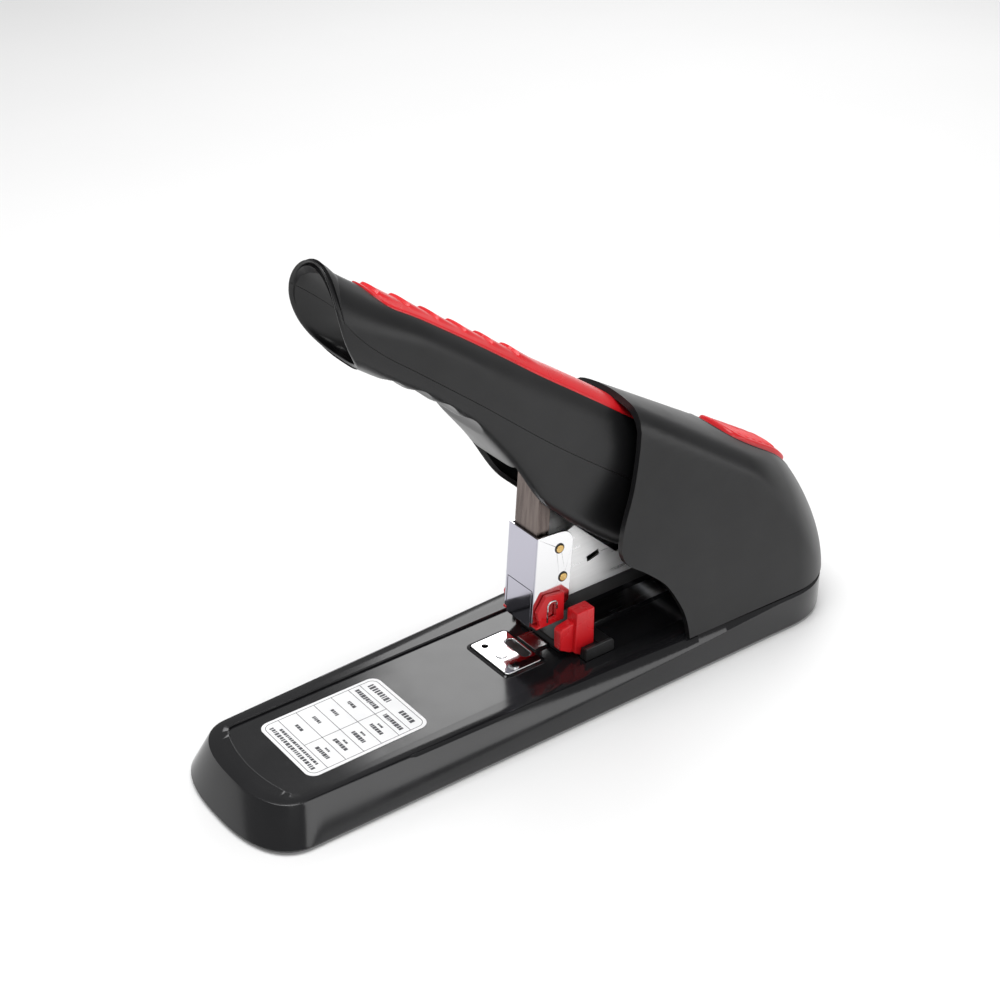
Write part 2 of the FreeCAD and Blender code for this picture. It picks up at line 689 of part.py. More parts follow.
def lean(shape):
    """Tip a piece drawn upright back by the head's lean, about the front face's lower edge."""
    shape.rotate(V(FRONT_X, 0, FRONT_BOTTOM_Z), V(0, 1, 0), math.degrees(HEAD_LEAN))
    return shape


def front_housing():
    """Chromed channel that guides the driver, open low in front for the gate."""
    high = FRONT_BOTTOM_Z + (FRONT_TOP_Z - FRONT_BOTTOM_Z) / math.cos(HEAD_LEAN)
    x = (FRONT_X, FRONT_X + FLANGE_DEPTH)
    block = box(x, (-FRONT_HALF, FRONT_HALF), (FRONT_BOTTOM_Z, high))
    corner = [e for e in block.Edges if abs(e.CenterOfMass.x - x[1]) < 0.1 and abs(e.CenterOfMass.z - high) < 0.1]
    block = block.makeFillet(FLANGE_CORNER, corner)
    inside = FRONT_HALF - FRONT_SHEET
    block = block.cut(box((x[0] + FRONT_SHEET, x[1] + 1), (-inside, inside), (0, 200)))
    opening_half = GATE_HALF + GATE_GAP
    nose = box((x[0] - 1, x[0] + FRONT_SHEET + 0.1), (-opening_half, opening_half),
               (0, GATE_TOP_Z + GATE_GAP))
    heel = side_plate([(x[0] - 1, FRONT_BOTTOM_Z - 1), (x[0] - 1, FLANGE_BOTTOM_Z),
                       (x[0] + 9, FLANGE_BOTTOM_Z),
                       (x[1] + 1, FRONT_BOTTOM_Z + 8.5), (x[1] + 1, FRONT_BOTTOM_Z - 2)], (-20, 20))
    block = lean(block.cut(nose).cut(heel))
    for place_x, place_z in rivet_spots():
        block = block.cut(pin_y(place_x, place_z, HEAD_RIVET_R, (-20, 20)))
    return block


def arm_outline():
    h = HEAD_PIVOT
    return [(2.4, ARM_BOTTOM_Z), (MAGAZINE_REAR_X + 1.5, ARM_BOTTOM_Z), (h.x - 9, h.z - 7),
            (h.x + 4, h.z - 7), (h.x + 7, h.z),
            (h.x + 4, h.z + 7), (h.x - 8, h.z + 7), (60, 47.5), (36, 47.5), (15.0, 67.2), (4.6, 63)]


def arm_plate(side):
    """Side plate of the magazine, reaching back to the head's pivot."""
    plate = side_plate(arm_outline(), (ARM_INNER, ARM_OUTER))
    plate = plate.cut(pin_y(HEAD_PIVOT.x, HEAD_PIVOT.z, HEAD_AXLE_R + RUNNING_FIT, (0, 40)))
    window = box((21.5, 27.5), (0, 20), (48.8, 51.4))
    window.rotate(V(24.5, 0, 50.1), V(0, 1, 0), -14)
    plate = plate.cut(window)
    for x, z in rivet_spots():
        plate = plate.cut(pin_y(x, z, HEAD_RIVET_R, (0, 40)))
    return plate if side > 0 else plate.mirror(MIDDLE, V(0, 1, 0))


def rivet_spots():
    return ((7.2, 60.2), (9.0, 47.0))


def head_rivets():
    """Cross rivets that hold the front channel and the arm plates together."""
    solids = []
    for x, z in rivet_spots():
        shank = pin_y(x, z, HEAD_RIVET_R, (-FRONT_HALF, FRONT_HALF))
        heads = both_sides(pin_y(x, z, HEAD_RIVET_R + 0.7, (FRONT_HALF, FRONT_HALF + 0.7)))
        solids.append(shank.fuse(heads))
    return Part.makeCompound(solids)


def head_bridge():
    """Block between the arm plates that the lifting spring presses on."""
    return box((HEAD_SPRING_X - 4.0, HEAD_SPRING_X + 4.0), (-ARM_INNER, ARM_INNER), (BRIDGE_BOTTOM_Z, 40.0))


# ---------------------------------------------------------------- magazine

def magazine_channel():
    """Black channel under the arms that the staples' core stands in."""
    x = (FRONT_X + 4.0, MAGAZINE_REAR_X)
    top = ARM_BOTTOM_Z - ARM_GAP
    block = box(x, (-MAGAZINE_HALF, MAGAZINE_HALF), (MAGAZINE_BOTTOM_Z, top))
    inside = MAGAZINE_HALF - MAGAZINE_SHEET
    return block.cut(box((x[0] - 1, x[1] + 1), (-inside, inside),
                         (MAGAZINE_BOTTOM_Z + MAGAZINE_SHEET, top + 1)))


def staple_core():
    """Core that the staples straddle, with a bore for the pusher's rod."""
    low = MAGAZINE_BOTTOM_Z + MAGAZINE_SHEET
    block = box((CORE_FRONT_X, MAGAZINE_REAR_X), (-CORE_HALF, CORE_HALF), (low, CORE_TOP_Z))
    groove = box((CORE_FRONT_X - 1, MAGAZINE_REAR_X - 3), (-CORE_HALF + 1, CORE_HALF - 1),
                 (low - 1, CORE_TOP_Z - 1.2))
    keyway = box((CORE_FRONT_X + 3, MAGAZINE_REAR_X - 3), (-1.6, 1.6), (CORE_TOP_Z - 2, CORE_TOP_Z + 1))
    return block.cut(groove).cut(keyway)


def gate_plate():
    """Chromed plate that closes the lower front of the staple channel."""
    half = GATE_HALF
    block = box((FRONT_X, FRONT_X + FRONT_SHEET), (-half, half), (FRONT_BOTTOM_Z + 0.4, GATE_TOP_Z))
    return lean(block)


def gate_grip():
    """Red finger grips of the gate, one each side, joined to its plate from below."""
    inner = FRONT_HALF + GRIP_CLEAR
    outer = inner + GRIP_THICK
    x = (FRONT_X + 2.2, FRONT_X + 14.4)
    wing = side_plate([(x[0] + 0.6, MAGAZINE_BOTTOM_Z - 0.9), (x[1], MAGAZINE_BOTTOM_Z - 0.9), (x[1], 41.2),
                       (x[0] + 3.4, 42.4), (x[0] - 0.8, 36.4)], (inner, outer))
    wing = wing.cut(box((x[0] + 5.0, x[0] + 8.4), (0, 20), (31.4, 38.2)))
    strip = box((FRONT_X + FRONT_SHEET + GATE_GAP, x[1]), (DRIVER_HALF + SHEET_FIT, outer),
                (MAGAZINE_BOTTOM_Z - 0.9, MAGAZINE_BOTTOM_Z - 0.1))
    return pair(wing.fuse(strip))


def pusher_rod():
    """Rod that carries the pusher's spring, with its end wall."""
    back = MAGAZINE_REAR_X - 3.0
    wall = box((back - 1.6, back), (-3.4, 3.4), (MAGAZINE_BOTTOM_Z + 1.0, CORE_TOP_Z - 1.4))
    rod = Part.makeCylinder(ROD_R, back - 1 - CORE_FRONT_X - 2, V(CORE_FRONT_X + 2, 0, ROD_Z), V(1, 0, 0))
    return rod.fuse(wall)


def staple_pusher():
    """Saddle that rides on the core and pushes the staples to the nose."""
    x = (CORE_FRONT_X, CORE_FRONT_X + PUSHER_LENGTH)
    top = CORE_TOP_Z + 1.8
    block = box(x, (-STAPLE_CROWN_HALF, STAPLE_CROWN_HALF),
                (MAGAZINE_BOTTOM_Z + MAGAZINE_SHEET + PUSHER_CLEAR, top))
    gap = PUSHER_CLEAR
    block = block.cut(box((x[0] - 1, x[1] + 1), (-CORE_HALF - gap, CORE_HALF + gap), (0, CORE_TOP_Z + gap)))
    tongue = box((x[0] + 4, x[0] + 10), (-1.2, 1.2), (CORE_TOP_Z - 2.6, top))
    tongue = tongue.fuse(box((x[0] + 4, x[0] + 7), (-3.2, 3.2), (ROD_Z - 3, CORE_TOP_Z - 2.2)))
    block = block.fuse(tongue)
    return block.cut(Part.makeCylinder(ROD_R + 0.25, 60, V(x[0] - 10, 0, ROD_Z), V(1, 0, 0)))


def pusher_spring():
    start = CORE_FRONT_X + 11.0
    end = MAGAZINE_REAR_X - 5.2
    turns = 26
    return coil(V(start, 0, ROD_Z), V(1, 0, 0), ROD_R + 0.9, SPRING_WIRE, turns,
                (end - start) / (turns - 1))


# ---------------------------------------------------------------- driver

def driver_blade():
    """Channel-shaped driver that slides behind the front sheet."""
    front = FRONT_X + FRONT_SHEET + DRIVER_GAP
    block = box((front, front + DRIVER_DEPTH), (-DRIVER_HALF, DRIVER_HALF), (DRIVER_BOTTOM_Z, DRIVER_TOP_Z))
    inside = DRIVER_HALF - DRIVER_SHEET
    block = block.cut(box((front + DRIVER_SHEET, front + DRIVER_DEPTH + 1), (-inside, inside), (0, 200)))
    relief = box((front + DRIVER_SHEET, front + DRIVER_DEPTH + 1), (-20, 20),
                 (0, DRIVER_BOTTOM_Z + DRIVER_RELIEF))
    block = lean(block.cut(relief))
    return block.cut(pin_y(drive_pin_x(), DRIVE_PIN_Z, DRIVE_PIN_R, (-20, 20)))


def drive_pin():
    return pin_y(drive_pin_x(), DRIVE_PIN_Z, DRIVE_PIN_R, (-LEVER_Y[1] - 0.4, LEVER_Y[1] + 0.4))


# ---------------------------------------------------------------- paper guide

def guide_slider():
    """Slider that straddles the depth strip under the magazine."""
    low = DECK_Z + GUIDE_LIFT
    middle = box(GUIDE_X, (-GUIDE_SADDLE_HALF, GUIDE_SADDLE_HALF), (low, GUIDE_SADDLE_Z))
    side = box(GUIDE_X, (GUIDE_SADDLE_HALF, GUIDE_HALF), (low, GUIDE_TOP_Z - 1.0))
    body = middle.fuse(both_sides(side))
    return body.cut(box((GUIDE_X[0] - 1, GUIDE_X[1] + 1),
                        (-STRIP_HALF - GUIDE_CLEAR, STRIP_HALF + GUIDE_CLEAR),
                        (0, DECK_Z + STRIP_THICK + GUIDE_CLEAR)))


def guide_wings():
    """Upright steel stops that the paper's edge meets, bent down over the slider."""
    low = RIM_Z + 0.35
    outline = [(GUIDE_X[0] + 4, low), (GUIDE_X[1], low), (GUIDE_X[1], GUIDE_TOP_Z - 1.4),
               (GUIDE_X[1] - 1.4, GUIDE_TOP_Z), (GUIDE_X[0] + 4, GUIDE_TOP_Z)]
    wing = side_plate(outline, (GUIDE_HALF, GUIDE_HALF + GUIDE_WING))
    top = box((GUIDE_X[0] + 4, GUIDE_X[1] - 1.4), (GUIDE_SADDLE_HALF + 0.2, GUIDE_HALF),
              (GUIDE_TOP_Z - 1.0, GUIDE_TOP_Z))
    return pair(wing.fuse(top))


def guide_knobs():
    """Red squeeze blocks that stand on the slider either side of the magazine."""
    inner = GUIDE_SADDLE_HALF + 0.4
    y = (inner, inner + KNOB_WIDTH)
    top = GUIDE_TOP_Z + KNOB_TALL
    block = box(KNOB_X, y, (GUIDE_TOP_Z, top))
    ridge = box((KNOB_X[0] - 2.2, KNOB_X[0]), (y[0] - 1.0, y[1]), (GUIDE_TOP_Z, top - 6))
    return pair(block.fuse(ridge))


# ---------------------------------------------------------------- latch

def release_latch():
    """Rocker under the button that frees the gate."""
    p = LATCH_PIVOT
    bar = side_plate([(p.x - 15, p.z), (p.x - 12, p.z), (p.x - 4, p.z - 4), (p.x + 3, p.z - 4),
                      (p.x + 5, p.z), (p.x + 2, p.z + 4.5), (p.x - 7, p.z + 8.5), (p.x - 15,
                                                                                   p.z + 7)], (-LATCH_HALF, LATCH_HALF))
    return bar.cut(pin_y(p.x, p.z, LATCH_PIN_R + RUNNING_FIT, (-20, 20)))


def latch_pin():
    return pin_y(LATCH_PIVOT.x, LATCH_PIVOT.z, LATCH_PIN_R, (-FRAME_Y[0], FRAME_Y[0]))


PARTS = {
    "base_shell": base_shell,
    "base_plate": base_plate,
    "rubber_feet": rubber_feet,
    "deck_panel": deck_panel,
    "size_label": size_label,
    "anvil_plate": anvil_plate,
    "anvil_rivets": anvil_rivets,
    "depth_strip": depth_strip,
    "frame_plate_left": lambda: frame_plate(1),
    "frame_plate_right": lambda: frame_plate(-1),
    "frame_spacers": frame_spacers,
    "handle_axle": lambda: axle(HANDLE_PIVOT, HANDLE_AXLE_R),
    "head_axle": lambda: axle(HEAD_PIVOT, HEAD_AXLE_R),
    "handle_spring": handle_spring,
    "head_spring": head_spring,
    "rear_housing": rear_housing,
    "button_bezel": button_bezel,
    "housing_screws": housing_screws,
    "latch_pin": latch_pin,
    "release_latch": release_latch,
    "release_button": release_button,
    "handle_upper_shell": handle_upper_shell,
    "handle_lower_shell": handle_lower_shell,
    "grip_insert": grip_insert,
    "handle_lever": handle_lever,
    "handle_screws": handle_screws,
    "front_housing": front_housing,
    "arm_plate_left": lambda: arm_plate(1),
    "arm_plate_right": lambda: arm_plate(-1),
    "head_rivets": head_rivets,
    "head_bridge": head_bridge,
    "magazine_channel": magazine_channel,
    "staple_core": staple_core,
    "gate_plate": gate_plate,
    "gate_grip": gate_grip,
    "pusher_rod": pusher_rod,
    "pusher_spring": pusher_spring,
    "staple_pusher": staple_pusher,
    "driver_blade": driver_blade,
    "drive_pin": drive_pin,
    "guide_slider": guide_slider,
    "guide_wings": guide_wings,
    "guide_knobs": guide_knobs,
}

os.makedirs("parts", exist_ok=True)
for node, make in PARTS.items():
    shape = make()
    shape.exportStep("parts/" + node + ".step")
    size = shape.BoundBox
    print(node, "solids", len(shape.Solids), "valid", shape.isValid(), "volume", round(shape.Volume),
          "x", round(size.XMin, 1), round(size.XMax, 1), "y", round(size.YMin, 1), round(size.YMax, 1),
          "z", round(size.ZMin, 1), round(size.ZMax, 1))
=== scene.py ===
import json
import math

import bmesh
import bpy
import numpy as np
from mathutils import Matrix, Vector


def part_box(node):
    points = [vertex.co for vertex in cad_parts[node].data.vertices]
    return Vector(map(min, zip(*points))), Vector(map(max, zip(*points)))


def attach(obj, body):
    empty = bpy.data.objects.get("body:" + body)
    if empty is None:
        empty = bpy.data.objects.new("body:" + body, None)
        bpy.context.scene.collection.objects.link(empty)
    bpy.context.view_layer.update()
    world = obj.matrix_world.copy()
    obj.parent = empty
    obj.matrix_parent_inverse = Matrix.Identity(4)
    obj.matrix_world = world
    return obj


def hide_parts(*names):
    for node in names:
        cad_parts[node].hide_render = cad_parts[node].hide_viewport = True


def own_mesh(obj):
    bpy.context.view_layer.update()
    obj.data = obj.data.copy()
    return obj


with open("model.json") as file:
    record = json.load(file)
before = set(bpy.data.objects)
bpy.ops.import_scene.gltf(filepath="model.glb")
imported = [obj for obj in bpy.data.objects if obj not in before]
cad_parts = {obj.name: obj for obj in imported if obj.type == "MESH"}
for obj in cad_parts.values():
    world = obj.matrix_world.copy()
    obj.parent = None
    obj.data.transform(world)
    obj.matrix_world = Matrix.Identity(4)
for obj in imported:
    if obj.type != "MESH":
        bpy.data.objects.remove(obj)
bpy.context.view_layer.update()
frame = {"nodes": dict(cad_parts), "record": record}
NODES = frame["nodes"]

MM = 0.001
NOSE_LEAN = math.radians(3.66)      # how far the nose's front face leans
NOSE_PAINTED_SHADE_FADE = (0.0002, 0.0005)        # metres behind that face where its painted darker reflection ends
SKINNED = set()                     # CAD nodes that a piece stands for


# ------------------------ materials

def noise(material, scale, detail=4.0, stretch=(1, 1, 1)):
    """Noise in object space, scale in features per metre."""
    tree = material.node_tree
    coord = tree.nodes.new("ShaderNodeTexCoord")
    mapping = tree.nodes.new("ShaderNodeMapping")
    mapping.inputs["Scale"].default_value = stretch
    texture = tree.nodes.new("ShaderNodeTexNoise")
    texture.inputs["Scale"].default_value = scale
    texture.inputs["Detail"].default_value = detail
    tree.links.new(coord.outputs["Object"], mapping.inputs["Vector"])
    tree.links.new(mapping.outputs["Vector"], texture.inputs["Vector"])
    return texture.outputs["Fac"]


def rough_spread(material, shader, value, low, high):
    """Roughness that follows a noise between two values."""
    tree = material.node_tree
    ranged = tree.nodes.new("ShaderNodeMapRange")
    ranged.inputs["From Min"].default_value = 0.3
    ranged.inputs["From Max"].default_value = 0.7
    ranged.inputs["To Min"].default_value = low
    ranged.inputs["To Max"].default_value = high
    tree.links.new(value, ranged.inputs["Value"])
    tree.links.new(ranged.outputs["Result"], shader.inputs["Roughness"])


def bump(material, shader, value, distance, strength):
    tree = material.node_tree
    node = tree.nodes.new("ShaderNodeBump")
    node.inputs["Distance"].default_value = distance
    node.inputs["Strength"].default_value = strength
    tree.links.new(value, node.inputs["Height"])
    tree.links.new(node.outputs["Normal"], shader.inputs["Normal"])


def tint(material, shader, value, dark, light):
    """Base colour that drifts between two tones."""
    tree = material.node_tree
    ramp = tree.nodes.new("ShaderNodeValToRGB")
    ramp.color_ramp.elements[0].position = 0.35
    ramp.color_ramp.elements[0].color = (*dark, 1)
    ramp.color_ramp.elements[1].position = 0.65
    ramp.color_ramp.elements[1].color = (*light, 1)
    tree.links.new(value, ramp.inputs["Fac"])
    tree.links.new(ramp.outputs["Color"], shader.inputs["Base Color"])


def surface(name, colour, roughness, metallic, tones=None, rough=None, relief=None, sockets=()):
    """Material: tones (noise, dark, light), rough (noise, low, high), relief (noise, depth, strength)."""
    material = bpy.data.materials.new(name)
    material.use_nodes = True
    shader = material.node_tree.nodes["Principled BSDF"]
    shader.inputs["Base Color"].default_value = (*colour, 1)
    shader.inputs["Roughness"].default_value = roughness
    shader.inputs["Metallic"].default_value = metallic
    if tones:
        tint(material, shader, noise(material, *tones[0]), *tones[1:])
    if rough:
        rough_spread(material, shader, noise(material, *rough[0]), *rough[1:])
    if relief:
        bump(material, shader, noise(material, *relief[0]), *relief[1:])
    for socket, value in sockets:
        shader.inputs[socket].default_value = value
    return material


def mirror_chrome(name):
    return surface(name, (0.88, 0.88, 0.89), 0.07, 1, None, ((80,), 0.05, 0.11), ((160, 1.0), 0.00002, 0.25))


def painted_reflection_chrome():
    """Chrome whose front face is painted a darker lavender tone, a painted reflection of the shaded floor that
    face looks at.
    """
    material = mirror_chrome("painted_reflection_chrome")
    tree = material.node_tree
    shader = tree.nodes["Principled BSDF"]
    coord = tree.nodes.new("ShaderNodeTexCoord")
    plane = tree.nodes.new("ShaderNodeVectorMath")
    plane.operation = "DOT_PRODUCT"
    plane.inputs[1].default_value = (math.cos(NOSE_LEAN), 0, -math.sin(NOSE_LEAN))
    tree.links.new(coord.outputs["Object"], plane.inputs[0])
    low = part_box("front_housing")[0]
    start, fade = NOSE_PAINTED_SHADE_FADE
    front = (low.x + start) * math.cos(NOSE_LEAN) - low.z * math.sin(NOSE_LEAN)
    ranged = tree.nodes.new("ShaderNodeMapRange")
    ranged.inputs["From Min"].default_value = front
    ranged.inputs["From Max"].default_value = front + fade
    tree.links.new(plane.outputs["Value"], ranged.inputs["Value"])
    # painted reflection: dark lavender on the front face, plain chrome tone behind it
    ramp = tree.nodes.new("ShaderNodeValToRGB")
    ramp.color_ramp.elements[0].color = (0.50, 0.49, 0.56, 1)
    ramp.color_ramp.elements[1].color = (0.90, 0.90, 0.91, 1)
    tree.links.new(ranged.outputs["Result"], ramp.inputs["Fac"])
    tree.links.new(ramp.outputs["Color"], shader.inputs["Base Color"])
    return material


# noises: scale, detail, stretch
STEEL_GRAIN = (900, 3.0, (0.05, 1, 1))
PLATED_GRAIN = (700, 3.0, (0.08, 1, 1))
BRONZE_GRAIN = (700, 3.0, (1, 1, 0.06))
SPANGLE = (300, 2.0)
MATERIALS = {
    "satin_black": surface("satin_black_plastic", (0.007, 0.007, 0.0075), 0.32, 0,
                           ((60,), (0.006, 0.006, 0.0065), (0.009, 0.009, 0.0096)), ((35,), 0.29, 0.38),
                           ((2600, 2.0), 0.00002, 0.5), [("Specular IOR Level", 0.36)]),
    "gloss_black": surface("gloss_black_plastic", (0.008, 0.008, 0.009), 0.06, 0,
                           ((40,), (0.007, 0.007, 0.008), (0.010, 0.010, 0.011)), ((90,), 0.10, 0.17),
                           ((120, 1.0), 0.00002, 0.3), [("Coat Weight", 0.25), ("Coat Roughness", 0.12)]),
    "red": surface("red_plastic", (0.62, 0.010, 0.016), 0.3, 0,
                   ((70,), (0.58, 0.008, 0.013), (0.66, 0.013, 0.019)), ((50,), 0.24, 0.34),
                   ((2200, 2.0), 0.000015, 0.5), [("Subsurface Weight", 0.05), ("Subsurface Scale", 0.001)]),
    "chrome": mirror_chrome("mirror_chrome"),
    "steel": surface("polished_steel", (0.60, 0.60, 0.60), 0.22, 1,
                     (STEEL_GRAIN, (0.52, 0.52, 0.52), (0.66, 0.66, 0.66)), (STEEL_GRAIN, 0.17, 0.28),
                     (STEEL_GRAIN, 0.00001, 0.5)),
    "zinc_steel": surface("zinc_steel", (0.50, 0.51, 0.53), 0.35, 1,
                          (SPANGLE, (0.42, 0.43, 0.46), (0.56, 0.57, 0.58)), (SPANGLE, 0.28, 0.42)),
    "black_steel": surface("black_coated_steel", (0.02, 0.02, 0.02), 0.32, 0,
                           ((90,), (0.016, 0.016, 0.016), (0.026, 0.026, 0.027)), ((120,), 0.26, 0.38),
                           ((1500, 3.0), 0.00002, 0.4)),
    "bronze_steel": surface("bronze_tinted_steel", (0.16, 0.13, 0.12), 0.26, 1,
                            (BRONZE_GRAIN, (0.12, 0.097, 0.09), (0.20, 0.165, 0.15)),
                            (BRONZE_GRAIN, 0.24, 0.36), (BRONZE_GRAIN, 0.00001, 0.5)),
    "brass": surface("brass", (0.72, 0.48, 0.18), 0.22, 1,
                     ((500,), (0.62, 0.40, 0.14), (0.78, 0.54, 0.22)), ((400,), 0.16, 0.28)),
    "rubber": surface("foot_rubber", (0.03, 0.03, 0.03), 0.8, 0,
                      ((200,), (0.025, 0.025, 0.025), (0.04, 0.04, 0.04)), None, ((1800, 3.0), 0.00003, 0.5)),
    "label_white": surface("label_stock", (0.86, 0.86, 0.86), 0.42, 0,
                           ((150,), (0.84, 0.84, 0.85), (0.88, 0.88, 0.88)), ((300,), 0.36, 0.48)),
}
# materials that a piece or node wears instead of its slot's
INK = surface("label_ink", (0.03, 0.03, 0.03), 0.5, 0, ((900,), (0.03, 0.03, 0.035), (0.09, 0.09, 0.10)))
BASE_PLASTIC = surface("base_black_plastic", (0.008, 0.008, 0.009), 0.13, 0,
                       ((50,), (0.007, 0.007, 0.008), (0.010, 0.010, 0.011)), ((40,), 0.10, 0.16),
                       ((1900, 2.0), 0.00001, 0.4))
PLATED = surface("plated_sheet", (0.93, 0.93, 0.93), 0.32, 0.85,
                 (PLATED_GRAIN, (0.90, 0.90, 0.90), (0.96, 0.96, 0.96)), (PLATED_GRAIN, 0.26, 0.38),
                 (PLATED_GRAIN, 0.00001, 0.4))


def paint(obj, slot):
    obj.data.materials.clear()
    obj.data.materials.append(MATERIALS[slot])


for row in frame["record"]["subparts"]:
    paint(NODES[row["node"]], row["material_slot"])

# front housing and gate plate: chrome with a painted darker reflection on their front faces
for material, names in ((painted_reflection_chrome(), ("front_housing", "gate_plate")),
                        (PLATED, ("arm_plate_left", "arm_plate_right"))):
    for name in names:
        NODES[name].data.materials[0] = material


# ------------------------ mesh helpers

def new_piece(name, points, faces, body, slot, *nodes):
    """Mesh from points in millimetres that rides on a body and stands for CAD nodes."""
    mesh = bpy.data.meshes.new(name)
    mesh.from_pydata((np.asarray(points, float) * MM).tolist(), [], faces)
    mesh.validate()
    mesh.polygons.foreach_set("use_smooth", [True] * len(mesh.polygons))
    mesh.update()
    face_out(mesh)
    obj = bpy.data.objects.new(name, mesh)
    bpy.context.scene.collection.objects.link(obj)
    paint(obj, slot)
    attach(obj, body)
    if nodes:
        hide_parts(*nodes)
        SKINNED.update(nodes)
    return obj


def face_out(mesh):
    """Flips the mesh if most of its skin faces its own middle."""
    middle = sum((face.center for face in mesh.polygons), Vector()) / len(mesh.polygons)
    if sum((face.center - middle).dot(face.normal) * face.area for face in mesh.polygons) < 0:
        mesh.flip_normals()


def fix_normals(obj):
    """Turns every face of a closed piece outwards."""
    work = bmesh.new()
    work.from_mesh(obj.data)
    bmesh.ops.recalc_face_normals(work, faces=work.faces)
    work.to_mesh(obj.data)
    work.free()


def joined(solids):
    """Points and faces of several solids as one mesh."""
    points, faces = [], []
    for some_points, some_faces in solids:
        start = len(points)
        points += [tuple(point) for point in some_points]
        faces += [tuple(start + k for k in face) for face in some_faces]
    return points, faces


def shade(obj, smooth):
    obj.data.polygons.foreach_set("use_smooth", [smooth] * len(obj.data.polygons))


def grid_faces(rows, columns, keep=None, wrap=False, start=0):
    """Quads over a rows x columns grid; keep(row, column) may drop some."""
    faces = []
    across = columns if wrap else columns - 1
    for i in range(rows - 1):
        for j in range(across):
            if keep is None or keep(i, j):
                k = (j + 1) % columns
                a, b = start + i * columns, start + (i + 1) * columns
                faces.append((a + j, a + k, b + k, b + j))
    return faces


def end_caps(rows, columns):
    """Faces that close the first and the last row of a wrapped grid."""
    last = rows * columns
    return [tuple(range(columns)), tuple(range(last - 1, last - columns - 1, -1))]


def thicken(obj, wall):
    modifier = obj.modifiers.new("wall", "SOLIDIFY")
    modifier.thickness = wall * MM
    modifier.offset = -1
    modifier.use_quality_normals = True


def round_edges(obj, width, degrees=32, segments=2, weld=False):
    if weld:
        modifier = obj.modifiers.new("weld", "WELD")
        modifier.merge_threshold = 0.002 * MM
    modifier = obj.modifiers.new("edges", "BEVEL")
    modifier.width = width * MM
    modifier.segments = segments
    modifier.limit_method = "ANGLE"
    modifier.angle_limit = math.radians(degrees)
    modifier.harden_normals = True


def settle(obj):
    """Turns the modifiers so far into the piece's own mesh."""
    bpy.context.view_layer.update()
    graph = bpy.context.evaluated_depsgraph_get()
    mesh = bpy.data.meshes.new_from_object(obj.evaluated_get(graph))
    obj.modifiers.clear()
    obj.data = mesh


def cut_with(obj, points, faces):
    """Boolean cut by a closed mesh given in millimetres."""
    mesh = bpy.data.meshes.new("cutter")
    mesh.from_pydata((np.asarray(points, float) * MM).tolist(), [], faces)
    work = bmesh.new()
    work.from_mesh(mesh)
    bmesh.ops.recalc_face_normals(work, faces=work.faces)
    work.to_mesh(mesh)
    work.free()
    cutter = bpy.data.objects.new("cutter", mesh)
    bpy.context.scene.collection.objects.link(cutter)
    modifier = obj.modifiers.new("cut", "BOOLEAN")
    modifier.operation = "DIFFERENCE"
    modifier.solver = "EXACT"
    modifier.object = cutter
    settle(obj)
    bpy.data.objects.remove(cutter)
    bpy.data.meshes.remove(mesh)


def curve_through(knots, values):
    """Smooth function through points, a cubic between each two."""
    knots, values = np.array(knots, float), np.array(values, float)
    slopes = np.gradient(values, knots)

    def at(x):
        x = np.asarray(x, float)
        i = np.clip(np.searchsorted(knots, x) - 1, 0, len(knots) - 2)
        gap = knots[i + 1] - knots[i]
        t = (x - knots[i]) / gap
        return ((2 * t ** 3 - 3 * t ** 2 + 1) * values[i] + (t ** 3 - 2 * t ** 2 + t) * gap * slopes[i]
                + (3 * t ** 2 - 2 * t ** 3) * values[i + 1] + (t ** 3 - t ** 2) * gap * slopes[i + 1])
    return at


def smooth_step(x, low, high):
    t = np.clip((np.asarray(x, float) - low) / (high - low), 0, 1)
    return t * t * (3 - 2 * t)


# ------------------------ handle

# along the handle: top x, top z, bottom x, bottom z, half width, forward bulge of the section
HANDLE_FORM = (
    (-87.0, 197.0, -77.6, 159.2, 15.9, 5.0),
    (-80.5, 191.5, -73.0, 156.2, 16.6, 2.6),
    (-70.0, 184.0, -65.5, 151.6, 17.0, 0.9),
    (-57.0, 175.7, -56.0, 145.2, 17.0, 0.0),
    (-46.0, 168.2, -46.0, 137.0, 17.0, 0.0),
    (-36.0, 161.4, -36.0, 128.0, 17.0, 0.0),
    (-28.0, 156.0, -28.0, 118.2, 17.0, 0.0),
    (-18.3, 149.4, -18.3, 105.3, 17.0, 0.0),
    (-7.5, 142.1, -7.5, 88.6, 17.0, 0.0),
    (2.0, 135.6, 2.0, 78.6, 17.0, 0.0),
    (12.5, 128.5, 12.5, 69.3, 17.0, 0.0),
    (30.5, 116.0, 30.5, 55.5, 17.0, 0.0),
    (45.0, 105.2, 45.0, 51.2, 16.9, 0.0),
    (60.0, 94.4, 60.0, 50.2, 16.8, 0.0),
    (75.0, 83.2, 75.0, 50.2, 16.4, 0.0),
)
LIP_STATION = 7.0            # the closed underside ends here
TOP_POWERS = (2.0, 2.35)     # how square the section is: end, grip
LOW_POWERS = (2.6, 5.2, 8.0)  # end, finger grip, belly
CORNER_SHARE = 0.8           # share of the half width where the wall turns into the underside
PARTING_LINE = ((-94, 193), (-88.2, 185.6), (-85.1, 179.7), (-80.3, 173.7), (-75.7, 169.2), (-59.5, 156.3),
                (-37.6, 139.2), (-1.4, 110), (40, 80), (95, 40))
PARTING_GAP = 0.1            # millimetres left open on each shell
SHELL_SHEET = 1.8
WALL_COLUMNS = 26
FIRST_STATION, STATION_STEP = 0.12, 0.055
FINGER_CUSPS = (-71.2, -61.6, -51.2, -40.9, -30.4)
FINGER_DEPTH = 2.6
RIDGE_FIRST_X = -67.4
RIDGE_PITCH = 11.2
RIDGES = 6
RIDGE_RISE = 0.95
RIDGE_SLANT = 0.05
INSERT_TIP_X = -71.2
